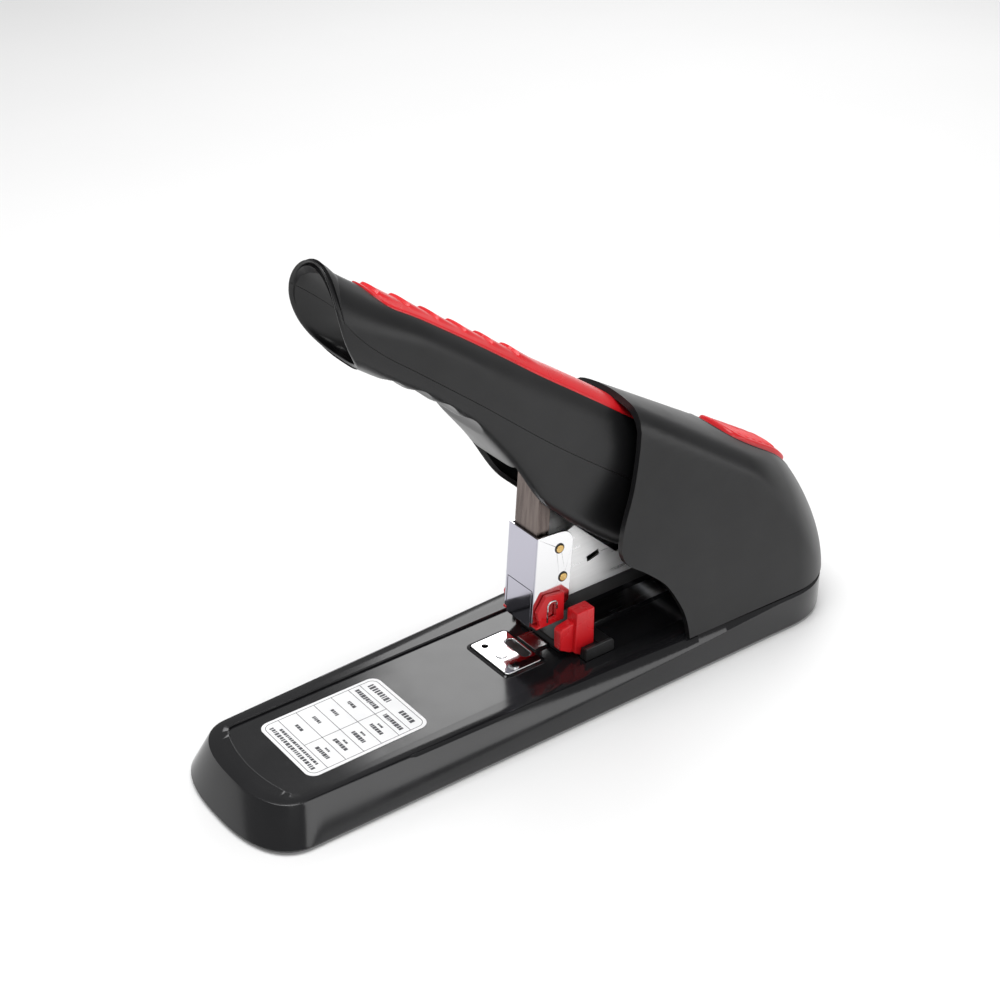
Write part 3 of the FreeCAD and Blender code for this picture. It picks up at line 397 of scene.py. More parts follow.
INSERT_REAR_X = 62.0
INSERT_NOSE = 9.5
INSERT_WIDE = 10.1
INSERT_PROUD = 0.55
INSERT_SUNK = -1.4           # its edge lies this deep in the shell
# the rounded lip and bowl at the end: share of the section, depth
END_RINGS = ((0.992, 0.5), (0.97, 0.08), (0.945, 0.0), (0.92, 0.22), (0.9, 1.0), (0.87, 2.6), (0.81, 4.6),
             (0.71, 6.6), (0.57, 8.3), (0.41, 9.4), (0.25, 10.0), (0.12, 10.3), (0.02, 10.4))

form = [curve_through(range(len(HANDLE_FORM)), column) for column in zip(*HANDLE_FORM)]
parting_z = curve_through(*zip(*PARTING_LINE))


def low_power(s):
    end, grip, belly = LOW_POWERS
    to_belly = smooth_step(s, LIP_STATION - 0.5, LIP_STATION + 1.5)
    return end + (grip - end) * smooth_step(s, 0, 3) + (belly - grip) * to_belly


def top_power(s):
    end, grip = TOP_POWERS
    return end + (grip - end) * smooth_step(s, 1, 4)


def handle_point(s, down, side):
    """Point of the handle's skin: down runs from 0 at the top of the section to 1 at its bottom."""
    s, down = np.broadcast_arrays(np.asarray(s, float), np.asarray(down, float))
    top_x, top_z, low_x, low_z, half, bulge = (f(s) for f in form)
    power = np.where(down < 0.5, top_power(s), low_power(s))
    out = half * np.maximum(0, 1 - np.abs(2 * down - 1) ** power) ** (1 / power)
    run_x, run_z = low_x - top_x, low_z - top_z
    length = np.hypot(run_x, run_z)
    groove = np.zeros_like(s)
    for front, rear in zip(FINGER_CUSPS, FINGER_CUSPS[1:]):
        place = (low_x - (front + rear) / 2) / ((rear - front) / 2)
        groove = np.maximum(groove, FINGER_DEPTH * (1 - place ** 2))
    down = np.minimum(down, 1 - groove / length)
    push = bulge * 4 * down * (1 - down)
    x = top_x + run_x * down + push * run_z / length
    z = top_z + run_z * down - push * run_x / length
    return np.stack([x, side * out, z], -1)


def section_length(s):
    return np.hypot(form[2](s) - form[0](s), form[3](s) - form[1](s))


def parting_down(s):
    """How far down the section the two shells meet."""
    low, high = np.full_like(s, 0.05), np.full_like(s, 0.95)
    for _ in range(40):
        middle = (low + high) / 2
        point = handle_point(s, middle, 1)
        above = point[..., 2] > parting_z(point[..., 0])
        low, high = np.where(above, middle, low), np.where(above, high, middle)
    return low


def turn_of(down):
    return np.arcsin(2 * down - 1)


def down_at(turn):
    return 0.5 + 0.5 * np.sin(turn)


def end_rows(ring, behind):
    """Rows that round the end's lip and dish its bowl, from the ring of skin points at the end."""
    top, low = handle_point(0.0, 0.0, 1), handle_point(0.0, 1.0, 1)
    centre = (top + low) / 2
    inward = (handle_point(3.0, 0.0, 1) + handle_point(3.0, 1.0, 1)) / 2 - centre
    inward /= np.linalg.norm(inward)
    back = (behind - ring) / np.linalg.norm(behind - ring, axis=1)[:, None]
    rows = []
    for share, depth in reversed(END_RINGS):
        skin = smooth_step(share, 0.9, 0.97)
        rows.append(centre + (ring - centre) * share + (back * skin + inward * (1 - skin)) * depth)
    return rows


def shell_stations():
    fine = np.arange(FIRST_STATION, len(HANDLE_FORM) - 1.001, STATION_STEP)
    return np.append(fine, len(HANDLE_FORM) - 1.0)


def both_sides(s, down):
    """Section points from the near edge over the middle to the far edge."""
    near = handle_point(s, down, -1)
    far = handle_point(s, down, 1)[..., -2::-1, :]
    return np.concatenate([near, far], -2)


def upper_downs(s):
    edge = turn_of(parting_down(s) - PARTING_GAP / section_length(s))[:, None]
    return down_at(edge + (-math.pi / 2 - edge) * np.linspace(0, 1, 36))


def lower_downs(s):
    power = low_power(s)
    edge = turn_of(parting_down(s) + PARTING_GAP / section_length(s))[:, None]
    corner = turn_of(0.5 + 0.5 * (1 - CORNER_SHARE ** power) ** (1 / power))[:, None]
    wall = down_at(edge + (corner - edge) * np.linspace(0, 1, WALL_COLUMNS))
    floor_share = np.linspace(CORNER_SHARE, 0, 16)[1:]
    floor = 0.5 + 0.5 * (1 - floor_share ** power[:, None]) ** (1 / power[:, None])
    return np.concatenate([wall, floor], 1)


def make_shell(name, downs, closed, node):
    """One shell of the handle; the lower one is open behind its lip."""
    s, zero = shell_stations(), np.zeros(1)
    ring = both_sides(zero[:, None], downs(zero))[0]
    behind = both_sides(zero[:, None] + 0.1, downs(zero))[0]
    ends = np.array(end_rows(ring, behind))
    rows = np.concatenate([ends, both_sides(s[:, None], downs(s))])
    count, wide = rows.shape[:2]
    lip_row = len(ends) + int(np.searchsorted(s, LIP_STATION))

    def keep(i, j):
        return closed or i < lip_row or j < WALL_COLUMNS - 1 or j >= wide - WALL_COLUMNS

    obj = new_piece(name, rows.reshape(-1, 3), grid_faces(count, wide, keep), "handle", "satin_black", node)
    thicken(obj, SHELL_SHEET)
    round_edges(obj, 0.3, 50)


def station_at(x):
    """Station whose top is at this x."""
    s = np.linspace(0, len(HANDLE_FORM) - 1, 2000)
    return np.interp(x, form[0](s), s)


def make_insert():
    """Red insert let into the handle's top, with a saw of ridges along its middle."""
    x = np.arange(INSERT_TIP_X + 0.02, INSERT_REAR_X, 0.45)
    s = station_at(x)
    along = np.clip((x - INSERT_TIP_X) / INSERT_NOSE, 0, 1)
    wide = INSERT_WIDE * (1 - (1 - along) ** 2.6) ** 0.5
    across = np.concatenate([[-1, -1], np.linspace(-0.97, 0.97, 41), [1, 1]])
    depth = np.concatenate([[INSERT_SUNK, 0.1], np.full(41, INSERT_PROUD), [0.1, INSERT_SUNK]])
    half = form[4](s)
    y = wide[:, None] * across
    power = top_power(s)[:, None]
    down = 0.5 - 0.5 * (1 - (np.abs(y) / half[:, None]) ** power) ** (1 / power)
    points = handle_point(s[:, None], down, 1)
    points[..., 1] = y
    turn = np.stack([form[0](s + 0.01) - form[0](s - 0.01), form[1](s + 0.01) - form[1](s - 0.01)], -1)
    turn /= np.linalg.norm(turn, axis=1)[:, None]
    up = np.stack([-turn[:, 1], np.zeros(len(s)), turn[:, 0]], -1)
    place = (x[:, None] - RIDGE_FIRST_X - RIDGE_SLANT * np.abs(y)) / RIDGE_PITCH
    on = (place > 0) & (place < RIDGES)
    saw = np.where(on, (1 - np.mod(place, 1)) ** 1.3, 0)
    fade = 1 - smooth_step(np.abs(across), 0.5, 0.72)
    lift = depth + RIDGE_RISE * saw * fade * (np.abs(across) < 0.98)
    points += up[:, None] * lift[..., None]
    count, columns = points.shape[:2]
    start = points[0].mean(0)
    last = points[-1].mean(0)
    solid = np.concatenate([points.reshape(-1, 3), [start - up[0] * 1.0, last]])
    faces = grid_faces(count, columns, wrap=True)
    first_centre, last_centre = len(solid) - 2, len(solid) - 1
    for j in range(columns):
        k = (j + 1) % columns
        faces.append((first_centre, k, j))
        faces.append((last_centre, (count - 1) * columns + j, (count - 1) * columns + k))
    obj = new_piece("grip_insert_skin", solid, faces, "handle", "red", "grip_insert")
    round_edges(obj, 0.25, 50)


# ------------------------ rear housing

HOOD_TOP_X, HOOD_TOP_Z = 35.5, 115.8
HOOD_FALL = 0.597            # the top line's drop per millimetre
HOOD_CROWN = 52.0            # radius across the top
HOOD_BACK = 30.0             # roundings of the back edge and the plan's rear corners
HOOD_TAIL = 31.0
HOOD_REAR = 139.3
HOOD_FLOOR = 16.25
HOOD_WALL = 2.4
# height, half width at the mouth, half width at the rear
HOOD_WIDTHS = ((16.2, 35.4, 38.9), (65.0, 28.8, 31.8), (118.0, 18.9, 22.0))
# the mouth's edge: height, x
MOUTH = ((14, 50.8), (20, 50.4), (27.7, 48.7), (35.6, 45.0), (43.8, 39.6), (51.8, 30.4), (57.6, 22.6),
         (62, 20.4), (68, 21.0), (86, 28.4), (103, 33.4), (118, 35.8), (124, 36.4))
HOOD_EYE = (75.0, 0.0, HOOD_FLOOR)      # inner point that sees all of the skin
# rounded outlines on the slope: start, end, half width, front power, rear power
BUTTON_HOLE = (56.0, 108.8, 14.7, 2.6, 5.0)
BEZEL_OUTER = (56.2, 108.6, 14.5, 2.6, 5.0)
BEZEL_LIP = (56.7, 108.2, 14.1, 2.6, 5.0)
BEZEL_TRIM = (57.4, 107.7, 13.5, 2.6, 5.0)
BEZEL_INNER = (65.6, 105.4, 12.8, 5.0, 6.0)
BUTTON_OUTLINE = (66.0, 105.0, 12.3, 5.0, 5.0)
BUTTON_POWER = 5.0
# the button's border: share of the outline, lift over the slope
BUTTON_BORDER = ((1.0, -6.6), (1.0, 0.2), (0.985, 0.95), (0.95, 1.25), (0.90, 1.25), (0.86, 0.95), (0.82, 0.5))
BUTTON_FIELD = 0.4
RIB_PITCH, RIB_RISE, RIB_SLANT = 4.6, 0.75, 0.25
fall_length = math.hypot(1, HOOD_FALL)
mouth_x = curve_through(*zip(*MOUTH))
hood_front_half = curve_through([row[0] for row in HOOD_WIDTHS], [row[1] for row in HOOD_WIDTHS])
hood_rear_half = curve_through([row[0] for row in HOOD_WIDTHS], [row[2] for row in HOOD_WIDTHS])


def blend_inside(first, second, radius):
    """Distance inside two walls that meet in a rounded corner."""
    return radius - np.hypot(np.maximum(radius - first, 0), np.maximum(radius - second, 0)) \
        + np.maximum(np.minimum(first, second) - radius, 0)


def hood_depth(point):
    """How far a point is inside the housing's outer skin, negative outside."""
    x, y, z = point[..., 0], point[..., 1], point[..., 2]
    share = np.clip((x - 20) / (HOOD_REAR - 20), 0, 1)
    z_in = np.clip(z, 0, 124)
    half = hood_front_half(z_in) + (hood_rear_half(z_in) - hood_front_half(z_in)) * share
    side = half - np.abs(y)
    rear = HOOD_REAR - x
    plan = blend_inside(side, rear, HOOD_TAIL)
    top = (HOOD_TOP_Z - HOOD_FALL * (x - HOOD_TOP_X) - y ** 2 / (2 * HOOD_CROWN) - z) / fall_length
    shoulder = 6.0 + (HOOD_BACK - 8.0) * smooth_step(x, 88, 132)
    return blend_inside(plan, top, shoulder)


def hood_reach(direction, eye):
    """Where rays from the eye leave the housing's skin."""
    low = np.zeros(direction.shape[:-1])
    high = np.full_like(low, 200.0)
    for _ in range(34):
        middle = (low + high) / 2
        inside = hood_depth(eye + direction * middle[..., None]) > 0
        low, high = np.where(inside, middle, low), np.where(inside, high, middle)
    return eye + direction * low[..., None]


def hood_direction(swing, roll):
    return np.stack([np.cos(swing), -np.sin(swing) * np.cos(roll), np.sin(swing) * np.sin(roll)], -1)


def slope_point(s, y, lift=0.0):
    """Point of the housing's skin above the slope coordinates, lifted square to the slope."""
    s, y = np.broadcast_arrays(np.asarray(s, float), np.asarray(y, float))
    along = np.array([1, 0, -HOOD_FALL]) / fall_length
    up = np.array([HOOD_FALL, 0, 1]) / fall_length
    foot = np.array([HOOD_TOP_X, 0, HOOD_TOP_Z]) + s[..., None] * along - 30 * up
    foot = foot + np.stack([0 * y, y, 0 * y], -1)
    low, high = np.zeros_like(s), np.full_like(s, 45.0)
    for _ in range(30):
        middle = (low + high) / 2
        inside = hood_depth(foot + up * middle[..., None]) > 0
        low, high = np.where(inside, middle, low), np.where(inside, high, middle)
    return foot + up * (low + lift)[..., None]


def rounded_ring(s0, s1, half, front_round, rear_round, count=96):
    """Closed outline in slope coordinates, a superellipse that is rounder at the front."""
    turn = np.linspace(0, 2 * math.pi, count, endpoint=False)
    middle, reach = (s0 + s1) / 2, (s1 - s0) / 2
    power = np.where(np.cos(turn) > 0, rear_round, front_round)
    s = middle + reach * np.sign(np.cos(turn)) * np.abs(np.cos(turn)) ** (2 / power)
    y = half * np.sign(np.sin(turn)) * np.abs(np.sin(turn)) ** (2 / power)
    return s, y


def make_housing():
    """Hood: a skin seen from its inner eye, cut off at the mouth, with the button's hole."""
    rolls = np.linspace(0, math.pi, 121)
    low, high = np.full_like(rolls, 0.2), np.full_like(rolls, math.pi - 0.15)
    eye = np.array(HOOD_EYE)
    for _ in range(34):
        middle = (low + high) / 2
        point = hood_reach(hood_direction(middle, rolls), eye)
        behind = point[:, 0] > mouth_x(np.clip(point[:, 2], 14, 124))
        low, high = np.where(behind, middle, low), np.where(behind, high, middle)
    share = np.linspace(0.012, 1, 120)
    swing = low[None, :] * share[:, None]
    points = hood_reach(hood_direction(swing, np.broadcast_to(rolls, swing.shape)), eye)
    count, wide = points.shape[:2]
    faces = [face[::-1] for face in grid_faces(count, wide)]
    obj = new_piece("rear_housing_skin", points.reshape(-1, 3), faces, "base", "satin_black", "rear_housing")
    thicken(obj, HOOD_WALL)
    settle(obj)
    s, y = rounded_ring(*BUTTON_HOLE)
    rings = np.concatenate([slope_point(s, y, 12.0), slope_point(s, y, -14.0)])
    cut_with(obj, rings, grid_faces(2, len(s), wrap=True) + end_caps(2, len(s)))
    shade(obj, True)
    round_edges(obj, 0.7, 50, 3)


def ring_solid(name, rings, body, slot, *nodes):
    """Solid ring from outlines one inside the next; the last meets the first."""
    rings = np.array(rings)
    count, wide = rings.shape[:2]
    faces = []
    for i in range(count):
        for j in range(wide):
            k = (j + 1) % wide
            a, b = i * wide, ((i + 1) % count) * wide
            faces.append((a + j, a + k, b + k, b + j))
    obj = new_piece(name, rings.reshape(-1, 3), faces, body, slot, *nodes)
    fix_normals(obj)
    return obj


def make_bezel():
    """Glossy frame round the button."""
    inner = rounded_ring(*BEZEL_INNER)
    levels = ((BEZEL_OUTER, -5.0), (BEZEL_OUTER, -0.2), (BEZEL_LIP, 0.25), (BEZEL_TRIM, -0.5))
    rings = [slope_point(*rounded_ring(*outline), lift) for outline, lift in levels]
    rings += [slope_point(*inner, -0.7), slope_point(*inner, -5.0)]
    obj = ring_solid("button_bezel_skin", rings, "base", "satin_black", "button_bezel")
    obj.data.materials[0] = MATERIALS["gloss_black"]
    round_edges(obj, 0.25, 35)


def make_button():
    """Button with a raised border round a ribbed field."""
    outline_s, outline_y = rounded_ring(*BUTTON_OUTLINE)
    middle = (BUTTON_OUTLINE[0] + BUTTON_OUTLINE[1]) / 2
    border = [slope_point(middle + (outline_s - middle) * share, outline_y * share, lift)
              for share, lift in BUTTON_BORDER]
    n = len(outline_s)
    faces = grid_faces(len(border), n, wrap=True) + [tuple(range(n))]
    # the field has its own fine grid so that the ribs stay crisp
    inner_share = BUTTON_BORDER[-1][0]
    inner_s, inner_y = middle + (outline_s - middle) * inner_share, outline_y * inner_share
    rows, columns = 120, 41
    field_s = np.linspace(inner_s.min() + 0.05, inner_s.max() - 0.05, rows)
    reach = (inner_s.max() - inner_s.min()) / 2
    wide = inner_y.max() * (1 - np.abs((field_s - middle) / reach) ** BUTTON_POWER) ** (1 / BUTTON_POWER)
    field_y = np.linspace(-1, 1, columns)
    y = wide[:, None] * field_y
    s = np.broadcast_to(field_s[:, None], y.shape)
    wave = 0.5 + 0.5 * np.cos(2 * math.pi * (s - RIB_SLANT * np.abs(y) - middle) / RIB_PITCH)
    fade = (1 - smooth_step(np.abs(field_y), 0.8, 0.96)) * smooth_step(reach - np.abs(s - middle), 0.4, 2.0)
    field = slope_point(s, y, BUTTON_FIELD + RIB_RISE * wave ** 1.5 * fade)
    floor = slope_point(inner_s, inner_y, BUTTON_FIELD / 2)
    faces += grid_faces(rows, columns, start=len(border) * n)
    floor_start = len(border) * n + rows * columns
    faces.append(tuple(range(floor_start, floor_start + n)))
    points = np.concatenate([*border, field.reshape(-1, 3), floor])
    obj = new_piece("release_button_skin", points, faces, "button", "red", "release_button")
    fix_normals(obj)
    round_edges(obj, 0.2, 50)


# ------------------------ base

# plan outlines: front, rear, half width at the front, half width at the rear, nose, tail
BASE_FOOT = (-139.5, 139.5, 34.8, 39.8, 20, 34)
BASE_RIM = (-132.6, 138.6, 27.8, 38.4, 15, 32)
NOSE_POWER, TAIL_POWER = 2.5, 2.2
RIM_HEIGHT = 16.0
CREASE_LOW, CREASE_RISE = 2.0, 12.6
CREASE_START, CREASE_LENGTH = -122, 218
PANEL_OUTLINE = (-124.45, 100.15, 23.75, 4.6, 3.15)     # front, rear, half width, bow, corner
SKIN_HEIGHT = 13.5
SKIN_FLOOR = 11.0


def plan_points(front, rear, half_front, half_rear, nose, tail, side_count=110):
    """Closed plan outline: rounded nose, straight taper, rounded tail."""
    swing = np.linspace(0, math.pi, side_count + 1)
    x = (front + rear) / 2 - (rear - front) / 2 * np.cos(swing)
    share = (x - front) / (rear - front)
    y = half_front + (half_rear - half_front) * share
    for past, power in (((front + nose - x) / nose, NOSE_POWER), ((x - rear + tail) / tail, TAIL_POWER)):
        y = y * np.maximum(0, 1 - np.clip(past, 0, 1) ** power) ** (1 / power)
    y[0] = y[-1] = 0
    near = np.stack([x, -y], -1)
    far = np.stack([x, y], -1)[-2:0:-1]
    return np.concatenate([near, far])


def panel_points(outline, grow=0.0):
    """Nearest points of the panel's recess to the points of a plan outline."""
    front, rear, half, bow, corner = PANEL_OUTLINE
    front, rear, half = front - grow, rear + grow, half + grow
    radius = (half ** 2 + bow ** 2) / (2 * bow)
    x, y = outline[:, 0], outline[:, 1]
    y_in = np.clip(y, -half, half)
    bow_x = front + radius - np.sqrt(radius ** 2 - y_in ** 2)
    x_in = np.clip(x, bow_x, rear)
    centre_x, centre_y = front + bow + corner * 0.75, half - corner
    off_x, off_y = x - centre_x, np.abs(y) - centre_y
    at_corner = (off_x < 0) & (off_y > 0)
    length = np.maximum(np.hypot(off_x, off_y), 1e-6)
    x_in = np.where(x < centre_x, np.minimum(x_in, bow_x), x_in)
    x_in = np.where(at_corner, centre_x + corner * off_x / length, x_in)
    y_in = np.where((off_x >= 0) & (x < rear), np.sign(y) * half, y_in)
    y_in = np.where(at_corner, np.sign(y) * (centre_y + corner * off_y / length), y_in)
    return np.stack([x_in, y_in], -1)


def raised(outline, z):
    return np.concatenate([outline, np.broadcast_to(np.asarray(z, float), (len(outline),))[:, None]], 1)


def drawn_in(outline, *steps):
    """Plan outline drawn in by a step at its front, rear, front half, rear half, nose and tail."""
    signs = (1, -1, -1, -1, -1, -1)
    return plan_points(*(value + sign * step for value, sign, step in zip(outline, signs, steps)))


def part_way(first, second, share):
    return first + (second - first) * share


def make_base():
    """Base shell: foot line, two facets along a crease that climbs from the nose, rim and recess."""
    foot, rim = plan_points(*BASE_FOOT), plan_points(*BASE_RIM)
    tucked = drawn_in(BASE_FOOT, 0.7, 0.5, 0.6, 0.5, 0.5, 0.5)
    inside = drawn_in(BASE_FOOT, 2.4, 2.4, 2.4, 2.4, 2, 2)
    rim_in = drawn_in(BASE_RIM, 1.1, 0.7, 1.0, 0.8, 0.5, 0.5)
    crease = CREASE_LOW + CREASE_RISE * np.clip((foot[:, 0] - CREASE_START) / CREASE_LENGTH, 0, 1)
    climb = 0.9
    recess, edge = panel_points(rim_in), panel_points(rim_in, 0.3)
    levels = ((inside, 4.0), (inside, 0.85), (tucked, 0.8), (part_way(foot, tucked, 0.2), 1.3),
              (foot, 1.9), (foot, np.maximum(crease - 0.35, 1.9)), (part_way(foot, rim, 0.03), crease + 0.35),
              (part_way(foot, rim, climb), crease + (RIM_HEIGHT - crease) * climb),
              (part_way(foot, rim, 0.985), RIM_HEIGHT - 0.35), (rim_in, RIM_HEIGHT),
              (part_way(rim_in, edge, 0.5), RIM_HEIGHT), (edge, RIM_HEIGHT), (recess, RIM_HEIGHT - 0.3),
              (recess, SKIN_HEIGHT), (recess, SKIN_FLOOR), (part_way(inside, recess, 0.5), SKIN_FLOOR))
    rings = [raised(outline, z) for outline, z in levels]
    obj = ring_solid("base_shell_skin", rings, "base", "satin_black", "base_shell")
    obj.data.materials[0] = BASE_PLASTIC
    shade(obj, True)
    round_edges(obj, 0.3, 40)


# ------------------------ label print

LABEL_TOP = 15.2
INK_THICK = 0.03
LABEL_MIDDLE_X = -85.15
LABEL_HALF_X, LABEL_HALF_Y = 25.65, 18.25
LINE_WIDE = 0.22
FRAME_INSET, EDGE_INSET = 1.3, 1.4
FOOTER_DEEP, HEADER_DEEP, TITLES_DEEP = 6.6, 6.6, 11.6
DIVIDE_Y = -1.2
# rows of marks: distance from the front or the rear edge, from y, to y, height, seed, gap
FRONT_WORDS = ((2.2, -14.5, 14.5, 1.7, 1, 0.45), (4.6, -13.0, 12.0, 1.3, 2, 0.35))
REAR_WORDS = ((3.4, 2.0, 15.2, 2.7, 3, 0.5), (3.4, -13.6, -5.5, 2.3, 4, 0.4),
              ((HEADER_DEEP + TITLES_DEEP) / 2, 1.2, 15.2, 2.0, 5, 0.3),
              ((HEADER_DEEP + TITLES_DEEP) / 2, -14.6, -3.4, 2.0, 6, 0.3))
# marks in each of the table's cells: distance from its middle, from y, to y, height, first seed, gap
CELL_WORDS = ((0.0, 6.4, 11.0, 1.5, 10, 0.25), (1.4, -9.6, -6.6, 0.9, 20, 0.2),
              (-0.9, -12.6, -4.6, 1.7, 30, 0.25))
CELLS = 4


def bar(x0, x1, y0, y1):
    """Thin inked block on the label."""
    low, high = LABEL_TOP, LABEL_TOP + INK_THICK
    corners = [(x0, y0), (x1, y0), (x1, y1), (x0, y1)]
    points = [(x, y, low) for x, y in corners] + [(x, y, high) for x, y in corners]
    faces = [(0, 3, 2, 1), (4, 5, 6, 7), (0, 1, 5, 4), (1, 2, 6, 5), (2, 3, 7, 6), (3, 0, 4, 7)]
    return points, faces


def rounded_frame(inset, width, corner=3.0):
    """Thin closed line with round corners, inset from the label's edge."""
    half_x, half_y = LABEL_HALF_X - inset, LABEL_HALF_Y - inset
    outer, inner = [], []
    for quarter, (sx, sy) in enumerate(((1, 1), (-1, 1), (-1, -1), (1, -1))):
        for turn in np.linspace(0, math.pi / 2, 7):
            a = turn + quarter * math.pi / 2
            cx, cy = sx * (half_x - corner), sy * (half_y - corner)
            for radius, out in ((corner, outer), (corner - width, inner)):
                out.append((LABEL_MIDDLE_X + cx + radius * math.cos(a), cy + radius * math.sin(a)))
    n = len(outer)
    low, high = LABEL_TOP, LABEL_TOP + INK_THICK
    levels = ((outer, low), (outer, high), (inner, high), (inner, low))
    points = [(x, y, z) for ring, z in levels for x, y in ring]
    faces = []
    for ring in range(4):
        for j in range(n):
            k = (j + 1) % n
            a, b = ring * n, ((ring + 1) % 4) * n
            faces.append((a + j, a + k, b + k, b + j))
    return points, faces


def words(x, y0, y1, tall, seed, gap):
    """Row of small blank marks that stands for a line of print, read across the label."""
    rng = np.random.default_rng(seed)
    marks = []
    y = y0
    while y < y1 - 0.4:
        step = min(float(rng.uniform(0.5, 1.5)), y1 - y)
        marks.append(bar(x - tall / 2 * rng.uniform(0.7, 1), x + tall / 2, y, y + step))
        y += step + gap
    return marks


def make_print():
    """Generic table of blank marks: nothing on it can be read."""
    half_line = LINE_WIDE / 2
    marks = [rounded_frame(FRAME_INSET, LINE_WIDE)]
    front = LABEL_MIDDLE_X - LABEL_HALF_X + EDGE_INSET
    rear = LABEL_MIDDLE_X + LABEL_HALF_X - EDGE_INSET
    side = LABEL_HALF_Y - EDGE_INSET
    footer, header = front + FOOTER_DEEP, rear - HEADER_DEEP
    rows = np.linspace(footer, rear - TITLES_DEEP, CELLS + 1)
    for x in (*rows, header):
        marks.append(bar(x - half_line, x + half_line, -side, side))
    marks.append(bar(footer, header, DIVIDE_Y - half_line, DIVIDE_Y + half_line))
    for away, *row in FRONT_WORDS:
        marks += words(front + away, *row)
    for away, *row in REAR_WORDS:
        marks += words(rear - away, *row)
    for i in range(CELLS):
        middle = (rows[i] + rows[i + 1]) / 2
        for away, y0, y1, tall, seed, gap in CELL_WORDS:
            marks += words(middle + away, y0, y1, tall, seed + i, gap)
    obj = new_piece("label_print", *joined(marks), "base", "label_white")
    obj.data.materials[0] = INK
    shade(obj, False)


# ------------------------ small parts

def prism(outline, low, high, axis):
    """Solid from an outline drawn across one axis; the outline is (x, z) across y or (x, y) across z."""
    points = []
    for level in (low, high):
        for first, second in outline:
            points.append((first, level, second) if axis == "y" else (first, second, level))
    n = len(outline)
    sides = [(j, j + n, (j + 1) % n + n, (j + 1) % n) for j in range(n)]
    return points, end_caps(2, n) + sides


def round_outline(x, y, radius, steps=6):
    """Rectangle outline with round corners from two (low, high) pairs."""
    out = []
    corners = ((x[1], y[1], 0), (x[0], y[1], 1), (x[0], y[0], 2), (x[1], y[0], 3))
    for corner_x, corner_y, quarter in corners:
        centre_x = corner_x - radius * (1 if quarter in (0, 3) else -1)
        centre_y = corner_y - radius * (1 if quarter in (0, 1) else -1)
        for turn in np.linspace(0, math.pi / 2, steps) + quarter * math.pi / 2:
            out.append((centre_x + radius * math.cos(turn), centre_y + radius * math.sin(turn)))
    return out


def circle_outline(x, y, radius, steps=28):
    turns = np.linspace(0, 2 * math.pi, steps, endpoint=False)
    return [(x + radius * math.cos(t), y + radius * math.sin(t)) for t in turns]


def many_solids(name, solids, body, slot, *nodes):
    obj = new_piece(name, *joined(solids), body, slot, *nodes)
    fix_normals(obj)
    return obj


def both(outline, low, high):
    """The same solid on the near and on the far side."""
    return [prism(outline, low, high, "y"), prism(outline, -high, -low, "y")]


# side views (x, z) of the paper stop's pieces and how far each reaches in y
KNOB_Y = (12.6, 18.7)
KNOB_SIDE = ((8.2, 35.4), (16.8, 35.4), (16.9, 15.7), (10.4, 15.7), (7.4, 17.6))
RIDGE_Y = (12.9, 17.1)
KNOB_RIDGE = ((8.6, 30.6), (8.6, 17.2), (6.4, 17.6), (1.6, 20.4), (1.4, 28.4), (2.4, 29.6))
SLIDER_Y = (12.1, 21.9)
SLIDER_BRIDGE = ((5.0, 16.5), (23.0, 16.5), (23.0, 18.3), (6.0, 18.3))
SLIDER_FEET = ((5.0, 15.3), (23.0, 15.3), (23.0, 16.5), (5.0, 16.5))
FEET_Y = (5.9, 12.1)
SLIDER_SIDES = ((17.2, 15.3), (23.0, 15.3), (23.0, 20.0), (17.2, 20.0))
SLIDER_SILLS = ((9.6, 15.3), (17.2, 15.3), (17.2, 19.6), (10.2, 19.6))
SILLS_Y = (18.9, 21.9)
WING_SIDE = ((9.4, 15.6), (23.2, 15.6), (23.2, 19.6), (22.4, 20.8), (21.6, 21.1), (9.4, 21.1))
WING_Y = (22.0, 23.3)


def make_guide():
    """Paper stop: black slider over the deck with red knobs and coated wings."""
    knobs = both(KNOB_SIDE, *KNOB_Y) + both(KNOB_RIDGE, *RIDGE_Y)
    round_edges(many_solids("guide_knob_skin", knobs, "guide", "red", "guide_knobs"), 0.55, 30, 3)
    slider = [prism(SLIDER_BRIDGE, -SLIDER_Y[0], SLIDER_Y[0], "y")] + both(SLIDER_FEET, *FEET_Y)
    slider += both(SLIDER_SIDES, *SLIDER_Y) + both(SLIDER_SILLS, *SILLS_Y)
    round_edges(many_solids("guide_slider_skin", slider, "guide", "satin_black", "guide_slider"), 0.35, 30)
    wings = both(WING_SIDE, *WING_Y)
    round_edges(many_solids("guide_wing_skin", wings, "guide", "black_steel", "guide_wings"), 0.25, 30)


# rounded rectangles in plan: x range, y range, corner radius
ANVIL_PLATE = ((-20.0, -2.8), (-12.0, 12.0), 1.4)
ANVIL_LOW, ANVIL_TOP = 13.85, 16.0
ANVIL_POCKET = ((-8.2, -3.9), (-7.2, 6.6), 2.1)
POCKET_FLOOR = 14.6
ANVIL_HOLE = (-15.5, 8.0, 1.25)
CLINCH_BLOCK = ((-7.7, -4.4), (-6.6, 6.0), 1.6)
CLINCH_LOW, CLINCH_TOP, DIMPLE_TOP = 14.4, 15.4, 15.65
DIMPLE_YS, DIMPLE_RADIUS = (-3.4, -0.3, 2.8), 0.75
BORDER_OUTER = ((-21.4, -1.5), (-13.6, 13.6), 2.6)
BORDER_INNER = ((-20.5, -2.35), (-12.5, 12.5), 1.8)
BORDER_LOW, BORDER_EDGE, BORDER_TOP = 14.9, 15.15, 15.55


